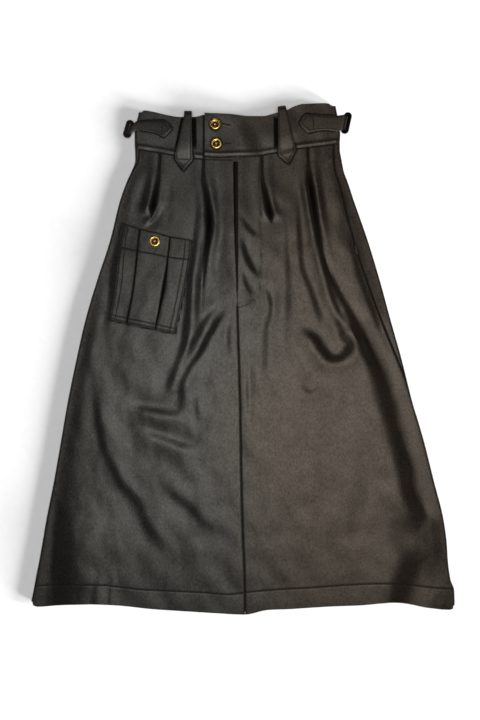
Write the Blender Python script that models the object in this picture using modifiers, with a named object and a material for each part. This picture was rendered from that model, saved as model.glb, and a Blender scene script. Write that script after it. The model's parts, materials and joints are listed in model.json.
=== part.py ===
"""Gurkha skirt in dark wool twill, laid flat on its back with the front up.

X runs across the skirt, with the wearer's left at +X. Y runs up it, with the waist at +Y. The underside lies
on z = 0, and the origin is the middle of the skirt's outline. The tables and named sizes below are in
millimetres, and the meshes are made in metres. Every cloth piece is a wall between an outer and an inner grid
of points, lofted through rows worked out from these sizes.
"""

import math

import bmesh
import bpy
import numpy as np

MM = 0.001
COLLECTION = "gurkha_skirt"

# Cloth and how it lies
CLOTH = 1.6  # thickness of the wool twill
BAND_CLOTH = 3.0  # two layers and the stiffener of the waistband
STRAP_CLOTH = 2.4  # belt loops and adjuster straps, folded double
GAP = 0.3  # between neighbouring pieces
PANEL_EDGE = 6.0  # height of the skirt over its side fold edges
BAND_EDGE = 7.2  # height of the waistband, all over
LOFT = 7.0  # plain height of the front's outer face
LOWEST = 4.0  # the deepest trough of the front's outer face
LOWEST_OVER_UNDERLAP = 5.9
LOWEST_ROUNDING = 2.0
EDGE_BLEND = 24.0  # the way over which the front falls to its fold edge
STEEPEST = 1.0  # slope past which a wall gets no thicker

# Outline of the skirt below the waistband
OUTLINE = (  # y, left fold edge, right fold edge
    (357, -179, 160),
    (347, -178.5, 160),
    (328, -178, 163),
    (308, -185, 167),
    (295, -191, 172),
    (262, -203, 183),
    (196, -219.5, 206),
    (130, -241, 226),
    (64, -260.5, 244),
    (-2, -275.5, 262.5),
    (-68, -289, 279),
    (-134, -300.5, 298.5),
    (-200, -312, 315),
    (-266, -325, 331.5),
    (-307, -332, 337),
    (-332, -336.5, 338.5),
    (-365, -343, 343),
    (-382, -346, 349),
    (-400, -349.8, 349.8),
)
HEM = (  # x, y
    (-349.8, -401),
    (-346.5, -407),
    (-338, -409.5),
    (-287, -405.5),
    (-251, -404.5),
    (-216, -406),
    (-148, -413),
    (-104, -416),
    (-48, -419.5),
    (2, -422),
    (41, -414.5),
    (78, -412.8),
    (144, -408.7),
    (188, -407),
    (233, -403),
    (246, -402),
    (269, -404),
    (305, -411),
    (341, -414.5),
    (347.5, -412),
    (349.8, -407),
)
BACK_HEM_INSET = 4.0  # the back ends this far above the front's hem, and shows only from below
RIGHT_WAIST = (  # x, y of the seam between the right front and the waistband
    (-179, 346.5),
    (-140, 340.5),
    (-112, 335.5),
    (-82, 331),
    (-65, 329.5),
    (-16, 328),
)
LEFT_WAIST = (  # x, y of the seam between the left front and the waistband
    (-64, 334.3),
    (-39, 332.5),
    (-16, 333.5),
    (18, 334.5),
    (31, 336),
    (58, 341),
    (86.5, 346),
    (148, 354),
    (160, 356.5),
)
SIDE_SEAM = (  # y, place of the seam round the left fold edge and round the right one
    (357, 9, 11.5),
    (346, 8, 12),
    (322, 5, 15),
    (300, 1.5, 16.5),
    (270, -4, 18),
    (225, -12.7, 23),
    (175, -12.7, 25.5),
    (125, -12.7, 23),
    (62, -12.7, 17),
    (1, -12.7, 9.5),
    (-42, -12.7, 2.5),
    (-90, -12.7, -4),
    (-150, -12.7, -12.7),
    (-420, -12.7, -12.7),
)
FLY = (  # y, edge of the right front, edge of the left front
    (334, -16.5, -7.8),
    (262, -15.7, -7.6),
    (196, -14, -7.9),
    (130, -11.5, -8.2),
    (90, -9.9, -9.3),
    (60, -8.9, -8.6),
    (14, -7.3, -7.0),
    (-76, -4.9, -4.6),
    (-167, -3.3, -3.0),
    (-250, -1.6, -1.3),
    (-386, 3.1, 3.4),
    (-424, 3.2, 3.5),
)
FLY_FOOT = 88.0
FLY_RISE = 2.4  # the fronts stand this much higher over the fly's underlap
FLY_REACH = 34.0
FLY_FADE = (-40.0, 20.0)  # y from the fly's foot over which the rise comes in
UNDERLAP = (-30.0, 9.0)  # its two long sides
UNDERLAP_MARGIN = 6.0
UNDERLAP_TOP = 326.0
UNDERLAP_ROWS = 6

# Columns of the front panels follow these lines, which start as the pleats
RIGHT_GUIDES = (  # y, outer pleat, inner pleat
    (330, -137, -65),
    (302, -139.5, -66),
    (270, -145, -60),
    (226, -153, -55.5),
    (155, -168, -63),
    (64, -178, -68),
    (-101, -190, -74),
    (-266, -206, -76),
    (-420, -216, -76),
)
LEFT_GUIDES = (  # y, inner pleat, outer pleat and the long fold that follows it
    (346, 30.7, 107),
    (302, 31.3, 109.5),
    (268, 38, 114),
    (226, 47, 120.5),
    (180, 52, 130),
    (138, 57, 143.5),
    (56, 63, 176.5),
    (14, 66, 203),
    (-68, 69, 234),
    (-165, 73, 264),
    (-251, 76, 285.5),
    (-420, 81, 304),
)

PLEATS = (  # guide, y where it opens, is widest and closes, width, depth, rise of its left and right lips
    ("right_outer", 306, 262, 214, 6.0, 3.6, 2.6, 1.4),
    ("right_inner", 300, 226, 118, 7.5, 4.2, 1.8, 2.4),
    ("left_inner", 304, 246, 214, 6.5, 3.8, 1.6, 2.6),
    ("left_outer", 314, 266, 120, 7.0, 4.6, 2.2, 2.8),
)
PLEAT_STITCHED = 0.28  # share of a pleat's depth in the length that is sewn down
PLEAT_SEWN_HALF = 1.6  # half width of the slit there
PLEAT_START = 12.0  # a slit starts to open this far above its opening
LIP_OFFSET = 9.0
LIP_WIDTH = 8.0
LIP_SEWN = 0.35  # share of a lip's rise beside the sewn length
LIP_FADE = 60.0

# Folds: rise, width to the left and right of travel, fade in and out as shares of the length, path of x, y
FOLDS = (
    # right front, from the side to the centre
    (-2.6, 9, 16, 0.3, 0.4, ((-232, 62), (-254, -1), (-273, -97), (-280, -202))),
    (2.6, 20, 22, 0.3, 0.4, ((-221, 20), (-241, -60), (-254, -150), (-258, -240))),
    (-3.0, 9, 8, 0.3, 0.3, (
        (-239, -98), (-229, -154), (-201, -198), (-180, -236),
        (-160, -274), (-125, -305), (-104, -315),
    )),
    (-2.2, 9, 9, 0.3, 0.5, ((-219, -22), (-213, -98), (-183, -174))),
    (2.8, 13, 14, 0.3, 0.3, ((-226, -60), (-215, -130), (-186, -190), (-160, -235), (-126, -278))),
    (-3.0, 10, 14, 0.2, 0.3, (
        (-76, 250), (-80, 198), (-87, 134), (-89, 82),
        (-96, 14), (-120, -25), (-129, -52),
    )),
    (3.4, 13, 13, 0.3, 0.4, ((-70, 150), (-66, 82), (-78, 14), (-108, -45))),
    (3.6, 12, 16, 0.4, 0.5, ((-26, 74), (-66, 16), (-98, -18))),
    (-2.4, 8, 9, 0.4, 0.5, ((-14, 48), (-54, -4), (-74, -20), (-72, -98))),
    (-2.2, 10, 9, 0.4, 0.4, ((-180, -94), (-140, -99), (-104, -101))),
    (2.6, 10, 10, 0.4, 0.4, ((-176, -111), (-140, -117), (-104, -122))),
    (-2.6, 10, 9, 0.3, 0.4, ((-173, -126), (-140, -136), (-110, -142), (-72, -139))),
    (-2.4, 13, 12, 0.4, 0.4, ((-139, -208), (-104, -236), (-69, -264), (-21, -289))),
    (2.6, 18, 16, 0.4, 0.5, ((-118, -192), (-82, -222), (-46, -250))),
    (-3.0, 15, 13, 0.4, 0.1, ((-300, -233), (-294, -299), (-282, -365), (-275, -404))),
    (3.4, 14, 16, 0.4, 0.1, ((-322, -262), (-322, -330), (-322, -400))),
    (3.0, 7, 7, 0.3, 0.0, ((-251, -372), (-251, -410))),
    # left front, from the centre to the side
    (-3.0, 17, 13, 0.1, 0.3, (
        (150, 130), (163, 97), (176.5, 56), (203, 14), (226, -60),
        (244, -104), (264, -165), (290, -251), (305, -300),
    )),
    (4.2, 16, 14, 0.4, 0.3, ((168, 118), (196, 56), (228, 0), (252, -66), (280, -130), (298, -190))),
    (3.4, 14, 18, 0.4, 0.4, ((124, 150), (146, 90), (160, 44), (186, -20), (212, -90), (236, -160))),
    (-2.6, 8, 9, 0.4, 0.4, ((94, 38), (129, 28), (157, 14), (176, 22))),
    (3.2, 9, 9, 0.4, 0.4, ((88, 20), (126, 10), (154, -4), (176, 4))),
    (-2.0, 7, 7, 0.5, 0.5, ((96, -38), (124, -58))),
    (-2.0, 9, 9, 0.3, 0.4, ((71, 262), (73, 163), (71, 18))),
    (2.6, 12, 12, 0.3, 0.4, ((85, 270), (87, 170), (88, 70))),
    (-2.2, 9, 9, 0.3, 0.4, ((98, 250), (101, 196), (105, 135), (124, 90), (136, 48))),
    (-1.8, 10, 10, 0.5, 0.5, ((38, 62), (38, -18), (38, -111))),
    (2.0, 12, 12, 0.5, 0.5, ((56, 40), (55, -40), (58, -120))),
    (-1.6, 9, 9, 0.5, 0.5, ((14, 0), (14, -126))),
    (-2.2, 7, 7, 0.4, 0.4, ((12, 236), (34, 196), (28, 160))),
    (2.4, 9, 9, 0.4, 0.4, ((-2, 214), (18, 180), (26, 140))),
    (-2.8, 12, 20, 0.4, 0.4, ((322, -268), (318, -310), (306, -360))),
    (3.2, 7, 7, 0.3, 0.0, ((235, -372), (233, -406))),
)

# Waistband
RIGHT_BAND_TOP = (  # x, y
    (-173, 407),
    (-169.5, 410),
    (-155, 408),
    (-127, 402),
    (-107, 399.3),
    (-82, 399.3),
    (-64, 403),
    (-12, 401.5),
)
LEFT_BAND_TOP = (  # x, y
    (-63.5, 405.6),
    (-21.5, 403.8),
    (11.5, 400.5),
    (35, 400.8),
    (56, 405.7),
    (73, 409.5),
    (90, 417),
    (105, 420.8),
    (143, 422),
    (149.5, 421),
    (152.5, 417.5),
)
BAND_SIDES = (  # y, left fold edge, right fold edge
    (422, -172, 152),
    (407, -172.5, 155),
    (385, -177.5, 159),
    (370, -178.8, 160.7),
    (357, -179, 160),
    (346, -178.5, 160),
)
RIGHT_BAND_END = -12.0
TAB_END = -63.5
TAB_LIFT = 4.4  # the tab lies on the right waistband
TAB_SLOPE = (-8.0, 34.0)  # the lift ends between these
BAND_UNDER = -14.0  # the front waistbands end this far round their fold edges, on the underside
SEAM_ROLL = 0.9  # rise of the rolled ridge along the waistband's lower seam
SEAM_ROLL_OVER = 5.5
SEAM_ROLL_WIDTH = 3.2
BAND_ROLL_END = 5.0  # the last column of the roll, past the quarter turn
BAND_COLUMNS = (9, 14, 13)  # right, left and back waistband
BAND_ROWS = (0.0, 0.2, 0.45, 0.7, 0.85, 0.93, 1.0)
BACK_BAND_INSET = 3.0
BACK_BAND_RIGHT_TOP = 398.0  # it stays below the right one's upper edge

# Belt loops: height of the middle plane, left x and y, right x and y, from the root to the point
RIGHT_LOOP = (
    (5.7, -97, 399.8, -84.5, 399.8),
    (5.9, -97, 404.5, -84.5, 404.5),
    (8.2, -97, 407.2, -84.5, 407.2),
    (11.4, -97, 407.6, -84.5, 407.6),
    (14.0, -97, 404.8, -84.5, 404.8),
    (14.9, -97.2, 400, -84.4, 400),
    (15.0, -100.5, 388.6, -84.3, 389),
    (14.8, -106.5, 360, -84, 362),
    (13.6, -110.5, 344, -83.8, 346),
    (11.9, -112.3, 336, -83.6, 338),
    (10.1, -112.7, 330.5, -83.1, 329.2),
    (9.4, -106, 321, -90.5, 320),
    (9.2, -99.6, 311.5, -98, 311.3),
)
LEFT_LOOP = (
    (5.7, 59, 408, 72.2, 411.4),
    (5.9, 58, 412, 71, 414.6),
    (8.2, 57.4, 414.2, 70.3, 416),
    (11.4, 57.2, 414.8, 70.1, 416.7),
    (14.0, 57.2, 412, 70.6, 414),
    (14.9, 57.3, 407, 71.6, 409.6),
    (15.0, 57.6, 392, 75.2, 396),
    (14.8, 58.1, 366, 81.2, 371),
    (13.6, 58.4, 350, 84.8, 356),
    (11.9, 58.6, 342, 86.6, 349),
    (10.1, 58.8, 336.6, 87.1, 344.5),
    (9.4, 66, 329.5, 82, 333.5),
    (9.2, 74.5, 322.3, 76, 322.3),
)
LOOP_SEWN = 2  # the last rows of a loop lie on the panel

# Adjuster straps: x and y of the upper side, x and y of the lower side, from the point to the fold edge
RIGHT_STRAP = (
    (-117.3, 380.6, -117.3, 378.8),
    (-128.5, 393, -131, 366.5),
    (-142, 393.4, -142, 371.6),
    (-157, 393, -157, 375.4),
    (-170, 392, -170, 377),
    (-177, 391.4, -177, 376.6),
)
LEFT_STRAP = (
    (93.2, 389.6, 93.2, 387.6),
    (102.5, 403.8, 107.4, 373.4),
    (120, 402.8, 120, 375.8),
    (136, 402.2, 136, 377.4),
    (150, 401.6, 150, 376),
    (157, 401.2, 157, 375),
)
BUCKLES = (  # side, centre x, y, z, height, width, tilt from the surface, turn in the surface
    (-1, -188.8, 379.5, 6.6, 30.0, 13.5, 12, -16),
    (1, 170.4, 389.0, 9.0, 36.0, 15.0, 36, -12),
)
BUCKLE_WIRE = 2.0  # radius
BUCKLE_CORNER = 3.2  # radius of its corners
TURN_BACK = 4.0  # radius of a strap's middle plane round the buckle's bar
TURN_ANGLES = (90, 45, 0, -45, -90)

# Cargo pocket on the right front
POCKET_TOP = ((-200, 223.5), (-170, 213.5), (-145, 207.5), (-118, 200), (-85, 195))
POCKET_LEFT = ((-200, 223.5), (-204, 197), (-210.5, 124), (-221, 64.5))
POCKET_RIGHT = ((-85, 195), (-88, 163.5), (-96.5, 115), (-112.5, 41.5))
POCKET_FOOT = ((-221, 64.5), (-191, 58), (-143, 48), (-112.5, 41.5))
POCKET_COLUMNS = (0.0, 0.1, 0.19, 0.25, 0.285, 0.34, 0.45, 0.56, 0.66, 0.705, 0.74, 0.86, 1.0)
POCKET_ROWS = 12
POCKET_LIFT = 0.7  # clearance over the panel's faceted face
POCKET_PLEATS = (0.268, 0.705)
POCKET_PLEAT_RISE = 1.5  # the middle of the pocket stands above its sides
POCKET_PLEAT_STEP = 0.04  # share of the width in which it rises

BUTTON_PROFILE = (  # radius and height, from the recessed crown over the rim to the foot
    (0.0, 2.1),
    (3.3, 2.2),
    (4.6, 3.2),
    (6.6, 3.9),
    (8.5, 3.5),
    (9.4, 2.3),
    (9.1, 1.0),
    (7.2, 0.0),
    (0.0, 0.0),
)
BUTTON_STEPS = 20
BUTTON_PLACES = (  # name, x, y
    ("waist_button_upper", -45.9, 386.4),
    ("waist_button_lower", -43.9, 354.8),
    ("pocket_button", -145.5, 193.5),
)

# Rows and columns of the panels
ROW_SPANS = ((0.0, 0.24, 11), (0.24, 0.9, 18), (0.9, 1.0, 5))  # from, to, steps
PLEAT_COLUMN = 5.0
ROLL_STATIONS = (-12.7, -4.7, -2.35, 0.0, 2.35, 4.7, 12.0, 38.0)  # round a fold edge, from its middle
BACK_STATIONS = (0.0, 0.25, 0.5, 0.59, 0.65, 0.72, 0.78, 1.0)
BACK_FLAT = -14.0
BACK_COLUMNS = 7
BACK_STRAIGHT = 0.7  # share of the way down from which the back's rows bend to follow the hem
RIGHT_STEPS = (7, 1, 1, 7, 1, 1, 3)
LEFT_STEPS = (5, 1, 1, 6, 1, 1, 4)

MATERIALS = {  # colour, roughness, metallic
    "wool_twill": ((0.055, 0.048, 0.041, 1), 0.78, 0.0),
    "brass": ((0.62, 0.42, 0.12, 1), 0.32, 1.0),
    "black_metal": ((0.012, 0.011, 0.010, 1), 0.45, 0.0),
}


def column(table, index):
    return np.array([row[index] for row in table], float)


def smooth(at, knots, values):
    """Values at points between the knots, on a smooth curve that never overshoots a knot."""
    order = np.argsort(knots)
    knots, values = knots[order], values[order]
    step = np.diff(knots)
    slope = np.diff(values) / step
    before, after = slope[:-1], slope[1:]
    same_way = before * after > 0
    total = np.where(same_way, before + after, 1.0)
    tangent = np.concatenate(([slope[0]], np.where(same_way, 2 * before * after / total, 0.0), [slope[-1]]))
    at = np.clip(np.asarray(at, float), knots[0], knots[-1])
    i = np.clip(np.searchsorted(knots, at, side="right") - 1, 0, len(step) - 1)
    t = (at - knots[i]) / step[i]
    return (
        values[i] * (1 + 2 * t) * (1 - t) ** 2
        + tangent[i] * step[i] * t * (1 - t) ** 2
        + values[i + 1] * t**2 * (3 - 2 * t)
        + tangent[i + 1] * step[i] * t**2 * (t - 1)
    )


def look_up(table, at, index):
    """The value in one column of a table, smoothly between its rows, read by the first column."""
    return smooth(at, column(table, 0), column(table, index))


def ease(t):
    t = np.clip(t, 0.0, 1.0)
    return t * t * (3 - 2 * t)


def spline(points, steps=6):
    """Points along a smooth curve through the given ones."""
    points = np.array(points, float)
    padded = np.vstack((2 * points[0] - points[1], points, 2 * points[-1] - points[-2]))
    t = np.linspace(0, 1, steps, endpoint=False)[:, None]
    found = []
    for a, b, c, d in zip(padded, padded[1:], padded[2:], padded[3:]):
        square = (2 * a - 5 * b + 4 * c - d) * t**2
        cube = (3 * b - a - 3 * c + d) * t**3
        found.append((2 * b + (c - a) * t + square + cube) / 2)
    return np.vstack((*found, points[-1:]))


def along_path(x, y, path):
    """Distance from a path, positive to the left of travel, and the share of its length, for each point."""
    way = spline(path)
    start, step = way[:-1], np.diff(way, axis=0)
    length = np.hypot(step[:, 0], step[:, 1])
    reached = np.concatenate(([0.0], np.cumsum(length)))
    dx, dy = x[..., None] - start[:, 0], y[..., None] - start[:, 1]
    t = np.clip((dx * step[:, 0] + dy * step[:, 1]) / length**2, 0, 1)
    away = np.hypot(dx - t * step[:, 0], dy - t * step[:, 1])
    side = np.sign(step[:, 0] * dy - step[:, 1] * dx)
    nearest = away.argmin(axis=-1)[..., None]
    distance = np.take_along_axis(away * side, nearest, -1)[..., 0]
    share = np.take_along_axis(reached[:-1] + t * length, nearest, -1)[..., 0] / reached[-1]
    return distance, share


def fade(share, start, end):
    """1 along a fold, falling to 0 over these shares of its length at its two ends."""
    rise = ease(share / start) if start else 1.0
    fall = ease((1 - share) / end) if end else 1.0
    return rise * fall


def fold_rise(x, y):
    total = np.zeros_like(x)
    for rise, left, right, start, end, path in FOLDS:
        distance, share = along_path(x, y, path)
        width = np.where(distance > 0, left, right)
        total += rise * fade(share, start, end) * np.exp(-((distance / width) ** 2))
    return total


def pleat_lines():
    return {
        "right_outer": (RIGHT_GUIDES, 1),
        "right_inner": (RIGHT_GUIDES, 2),
        "left_inner": (LEFT_GUIDES, 1),
        "left_outer": (LEFT_GUIDES, 2),
    }


def pleat_rise(x, y):
    """The slit of each pleat and the two lips beside it."""
    total = np.zeros_like(x)
    lines = pleat_lines()
    for guide, opens, widest, closes, width, depth, left_lip, right_lip in PLEATS:
        away = x - look_up(lines[guide][0], y, lines[guide][1])
        start = opens + PLEAT_START
        opening = ease((start - y) / (start - widest)) * ease((y - closes) / (widest - closes))
        sewn = PLEAT_STITCHED * ease((y - widest) / (opens - widest))
        half = PLEAT_SEWN_HALF + (width / 2 - PLEAT_SEWN_HALF) * opening
        total -= depth * np.maximum(opening, sewn) * np.exp(-((away / half) ** 2))
        lips = LIP_SEWN * ease((y - widest) / LIP_FADE) + opening
        total += left_lip * lips * np.exp(-(((away + LIP_OFFSET) / LIP_WIDTH) ** 2))
        total += right_lip * lips * np.exp(-(((away - LIP_OFFSET) / LIP_WIDTH) ** 2))
    return total


def fly_rise(x, y):
    """The fronts stand higher over the underlap, most at the fly's edges."""
    middle = (look_up(FLY, y, 1) + look_up(FLY, y, 2)) / 2
    start, end = FLY_FADE
    coming_in = ease((y - FLY_FOOT - start) / (end - start))
    return FLY_RISE * coming_in * ease(1 - abs(x - middle) / FLY_REACH)


def least_rise(x, y):
    """The lowest that the outer face may lie, over the back or over the fly's underlap."""
    beside = (x > UNDERLAP[0] - UNDERLAP_MARGIN) * (x < UNDERLAP[1] + UNDERLAP_MARGIN)
    above_foot = ease((y - FLY_FOOT + 2 * UNDERLAP_MARGIN) / UNDERLAP_MARGIN)
    return LOWEST + (LOWEST_OVER_UNDERLAP - LOWEST) * beside * above_foot


def front_rise(x, y):
    """Height of the front's outer face over the surface it lies on."""
    free = LOFT + fold_rise(x, y) + pleat_rise(x, y) + fly_rise(x, y)
    least = least_rise(x, y)
    over = free - least
    rounded = LOWEST_ROUNDING * np.exp(np.minimum(over - LOWEST_ROUNDING, 0) / LOWEST_ROUNDING)
    free = least + np.where(over > LOWEST_ROUNDING, over, rounded)
    inside = np.minimum(x - look_up(OUTLINE, y, 1), look_up(OUTLINE, y, 2) - x) - PANEL_EDGE / 2
    return PANEL_EDGE + (free - PANEL_EDGE) * ease(inside / EDGE_BLEND)


def wall_under(x, y, rise, thickness):
    """Height of the inner face, so that the wall keeps its thickness on a slope."""
    slope_x = rise(x + 0.5, y) - rise(x - 0.5, y)
    slope_y = rise(x, y + 0.5) - rise(x, y - 0.5)
    return rise(x, y) - thickness * np.sqrt(1 + np.minimum(slope_x**2 + slope_y**2, STEEPEST))


def top_points(x, y, rise, thickness):
    """Outer and inner points of a wall that lies face up."""
    outer = np.stack((x, y, rise(x, y)), axis=-1)
    inner = np.stack((x, y, wall_under(x, y, rise, thickness)), axis=-1)
    return outer, inner


def edge_points(edge, side, y, place, rise, height, thickness):
    """Outer and inner points round a side fold edge. place runs round the outer face in millimetres, from 0
    at the edge's middle, up over the top where it is positive and under the skirt where it is negative."""
    radius = height / 2
    quarter = radius * math.pi / 2
    angle = np.clip(place / radius, -math.pi / 2, math.pi / 2)
    inward = np.maximum(abs(place) - quarter, 0)
    centre = edge - side * radius
    faces = []
    for depth in (0.0, thickness):
        x = centre + side * ((radius - depth) * np.cos(angle) - inward)
        z = radius + (radius - depth) * np.sin(angle)
        if depth:
            over = wall_under(x, y, rise, thickness)
        else:
            over = rise(x, y)
        z = np.where(place > quarter, over, z)
        faces.append(np.stack((x, y, z), axis=-1))
    return faces


def row_shares():
    """Shares of the way down a panel at its rows, closer together where the pleats and the hem are."""
    shares = [np.linspace(start, end, steps, endpoint=False) for start, end, steps in ROW_SPANS]
    return np.concatenate((*shares, [1.0]))


def make_material(name):
    colour, roughness, metallic = MATERIALS[name]
    material = bpy.data.materials.new(name)
    material.use_nodes = True
    shader = material.node_tree.nodes["Principled BSDF"]
    shader.inputs["Base Color"].default_value = colour
    shader.inputs["Roughness"].default_value = roughness
    shader.inputs["Metallic"].default_value = metallic
    material.diffuse_color = colour
    return material


def add_object(name, mesh, collection, material):
    mesh.materials.append(material)
    mesh.shade_smooth()
    mesh.set_sharp_from_angle(angle=math.radians(50))
    thing = bpy.data.objects.new(name, mesh)
    collection.objects.link(thing)
    return thing


def wall_mesh(name, outer, inner):
    """A closed wall between two grids of points of the same size, given in millimetres."""
    rows, columns = outer.shape[:2]
    count = rows * columns
    outside = np.arange(count).reshape(rows, columns)
    inside = outside + count

    def quads(grid):
        return np.stack((grid[:-1, :-1], grid[1:, :-1], grid[1:, 1:], grid[:-1, 1:]), axis=-1).reshape(-1, 4)

    def rim(a, b):
        return np.stack((a[:-1], b[:-1], b[1:], a[1:]), axis=-1)

    faces = np.vstack(
        (
            quads(outside),
            quads(inside)[:, ::-1],
            rim(outside[0], inside[0])[:, ::-1],
            rim(outside[-1], inside[-1]),
            rim(outside[:, 0], inside[:, 0]),
            rim(outside[:, -1], inside[:, -1])[:, ::-1],
        )
    )
    points = np.vstack((outer.reshape(-1, 3), inner.reshape(-1, 3))) * MM
    mesh = bpy.data.meshes.new(name)
    mesh.from_pydata(points.tolist(), [], faces.tolist())
    shape = bmesh.new()
    shape.from_mesh(mesh)
    bmesh.ops.recalc_face_normals(shape, faces=shape.faces)
    bmesh.ops.triangulate(shape, faces=shape.faces)
    shape.to_mesh(mesh)
    shape.free()
    return mesh


def side_of(side):
    """The waist seam, the outline's column and the end of the tables on one side of the skirt."""
    return (RIGHT_WAIST, 1, 0) if side < 0 else (LEFT_WAIST, 2, -1)


def panel_rows(waist, top_at, foot_at):
    """y of a column's points, from the waist seam to the hem, for its x at those two."""
    top = look_up(waist, top_at, 1) - GAP
    foot = look_up(HEM, foot_at, 1)
    return top + (foot - top) * row_shares()


def edge_column(side, place_from_seam):
    """Outer and inner points of one column near a side fold edge. place_from_seam gives its place round the
    edge from that of the side seam."""
    waist, index, end = side_of(side)
    radius = PANEL_EDGE / 2
    flat = radius - radius * math.pi / 2

    def plan_x(edge_x, y):
        place = place_from_seam(look_up(SIDE_SEAM, y, index))
        return edge_x - side * (place + flat if place + flat > radius else 0)

    top_at = plan_x(waist[end][0], waist[end][1])
    foot_at = plan_x(HEM[end][0], HEM[end][1])
    y = panel_rows(waist, top_at, foot_at)
    edge = look_up(OUTLINE, y, index)
    place = place_from_seam(look_up(SIDE_SEAM, y, index))
    return edge_points(edge, side, y, place, front_rise, PANEL_EDGE, CLOTH)


def front_panel(side):
    """Outer and inner grids of one front. side is -1 for the right front and +1 for the left one. Columns run
    from the fold edge's seam to the centre."""
    right = side < 0
    waist, index, _ = side_of(side)
    guides = RIGHT_GUIDES if right else LEFT_GUIDES
    steps = RIGHT_STEPS if right else LEFT_STEPS
    outer_guide, inner_guide = (1, 2) if right else (2, 1)
    first, last = ROLL_STATIONS[0], ROLL_STATIONS[-1]
    columns = []
    for station in ROLL_STATIONS:
        share = (station - first) / (last - first)
        columns.append(edge_column(side, lambda seam: seam + GAP / 2 + (last - seam - GAP / 2) * share))

    def anchors(y):
        """x of the lines between which the columns are spread, from the fold edge to the centre."""
        radius = PANEL_EDGE / 2
        reach = side * PLEAT_COLUMN
        outer_line = look_up(guides, y, outer_guide)
        inner_line = look_up(guides, y, inner_guide)
        return np.stack(
            (
                look_up(OUTLINE, y, index) - side * (radius + last - radius * math.pi / 2),
                outer_line + reach,
                outer_line,
                outer_line - reach,
                inner_line + reach,
                inner_line,
                inner_line - reach,
                look_up(FLY, y, 1 if right else 2),
            )
        )

    top_line = anchors(look_up(waist, 0.0, 1))
    foot_line = anchors(look_up(HEM, 0.0, 1))
    for span, count in enumerate(steps):
        for share in np.arange(1, count + 1) / count:
            top_at = top_line[span] + (top_line[span + 1] - top_line[span]) * share
            foot_at = foot_line[span] + (foot_line[span + 1] - foot_line[span]) * share
            y = panel_rows(waist, top_at, foot_at)
            lines = anchors(y)
            x = lines[span] + (lines[span + 1] - lines[span]) * share
            columns.append(top_points(x, y, front_rise, CLOTH))
    return tuple(np.stack(face, axis=1) for face in zip(*columns))


def back_panel():
    """Outer and inner grids of the back: round the right fold edge from its seam, flat, round the left."""
    halves = []
    for side in (1, -1):
        halves.append(
            [
                edge_column(side, lambda seam: seam - GAP / 2 + (BACK_FLAT - seam + GAP / 2) * share)
                for share in BACK_STATIONS
            ]
        )
    near, far = halves[0][-1], halves[1][-1]
    lowering = ease((row_shares() - BACK_STRAIGHT) / (1 - BACK_STRAIGHT))
    flat = []
    for share in np.arange(1, BACK_COLUMNS + 1) / (BACK_COLUMNS + 1):
        faces = []
        for a, b in zip(near, far):
            points = a + (b - a) * share
            foot = look_up(HEM, points[-1, 0], 1) + BACK_HEM_INSET
            points[:, 1] += (foot - points[-1, 1]) * lowering
            faces.append(points)
        flat.append(tuple(faces))
    columns = (*halves[0], *flat, *halves[1][::-1])
    return tuple(np.stack(face, axis=1) for face in zip(*columns))


def seam_roll(x, y, waist):
    """The rolled ridge along the waistband's lower seam."""
    return SEAM_ROLL * np.exp(-(((y - look_up(waist, x, 1) - SEAM_ROLL_OVER) / SEAM_ROLL_WIDTH) ** 2))


def right_band_rise(x, y):
    return BAND_EDGE + seam_roll(x, y, RIGHT_WAIST)


def left_band_rise(x, y):
    """The left waistband climbs over the right one's end, and its tab lies on it."""
    lift = 1 - ease((x - TAB_SLOPE[0]) / (TAB_SLOPE[1] - TAB_SLOPE[0]))
    return BAND_EDGE + TAB_LIFT * lift + seam_roll(x, y, LEFT_WAIST)


def front_band(side, rise, top, waist, x_end, steps):
    """Outer and inner grids of one front waistband, from under its fold edge to its free end."""
    index = 1 if side < 0 else 2
    shares = np.array(BAND_ROWS)
    start = BAND_SIDES[-1][index]
    outer_columns, inner_columns = [], []

    def row_y(at):
        high = look_up(top, at, 1)
        return high + (look_up(waist, at, 1) - high) * shares

    y_edge = row_y(start)
    edge = look_up(BAND_SIDES, y_edge, index)
    radius = BAND_EDGE / 2
    quarter = radius * math.pi / 2
    places = (BAND_UNDER, -quarter, -quarter / 2, 0.0, quarter / 2, quarter, quarter + BAND_ROLL_END)
    for place in places:
        at = start - side * max(radius + place - quarter, 0)
        y = row_y(at) if place > quarter else y_edge
        side_x = look_up(BAND_SIDES, y, index)
        outer, inner = edge_points(side_x, side, y, np.full(len(y), place), rise, BAND_EDGE, BAND_CLOTH)
        outer_columns.append(outer)
        inner_columns.append(inner)
    inside = radius + BAND_ROLL_END
    for part in range(1, steps + 1):
        share = part / steps
        at = start - side * inside + (x_end - start + side * inside) * share
        y = row_y(at)
        near = look_up(BAND_SIDES, y, index) - side * inside
        x = near + (x_end - near) * share
        outer, inner = top_points(x, y, rise, BAND_CLOTH)
        outer_columns.append(outer)
        inner_columns.append(inner)
    return np.stack(outer_columns, axis=1), np.stack(inner_columns, axis=1)


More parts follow.
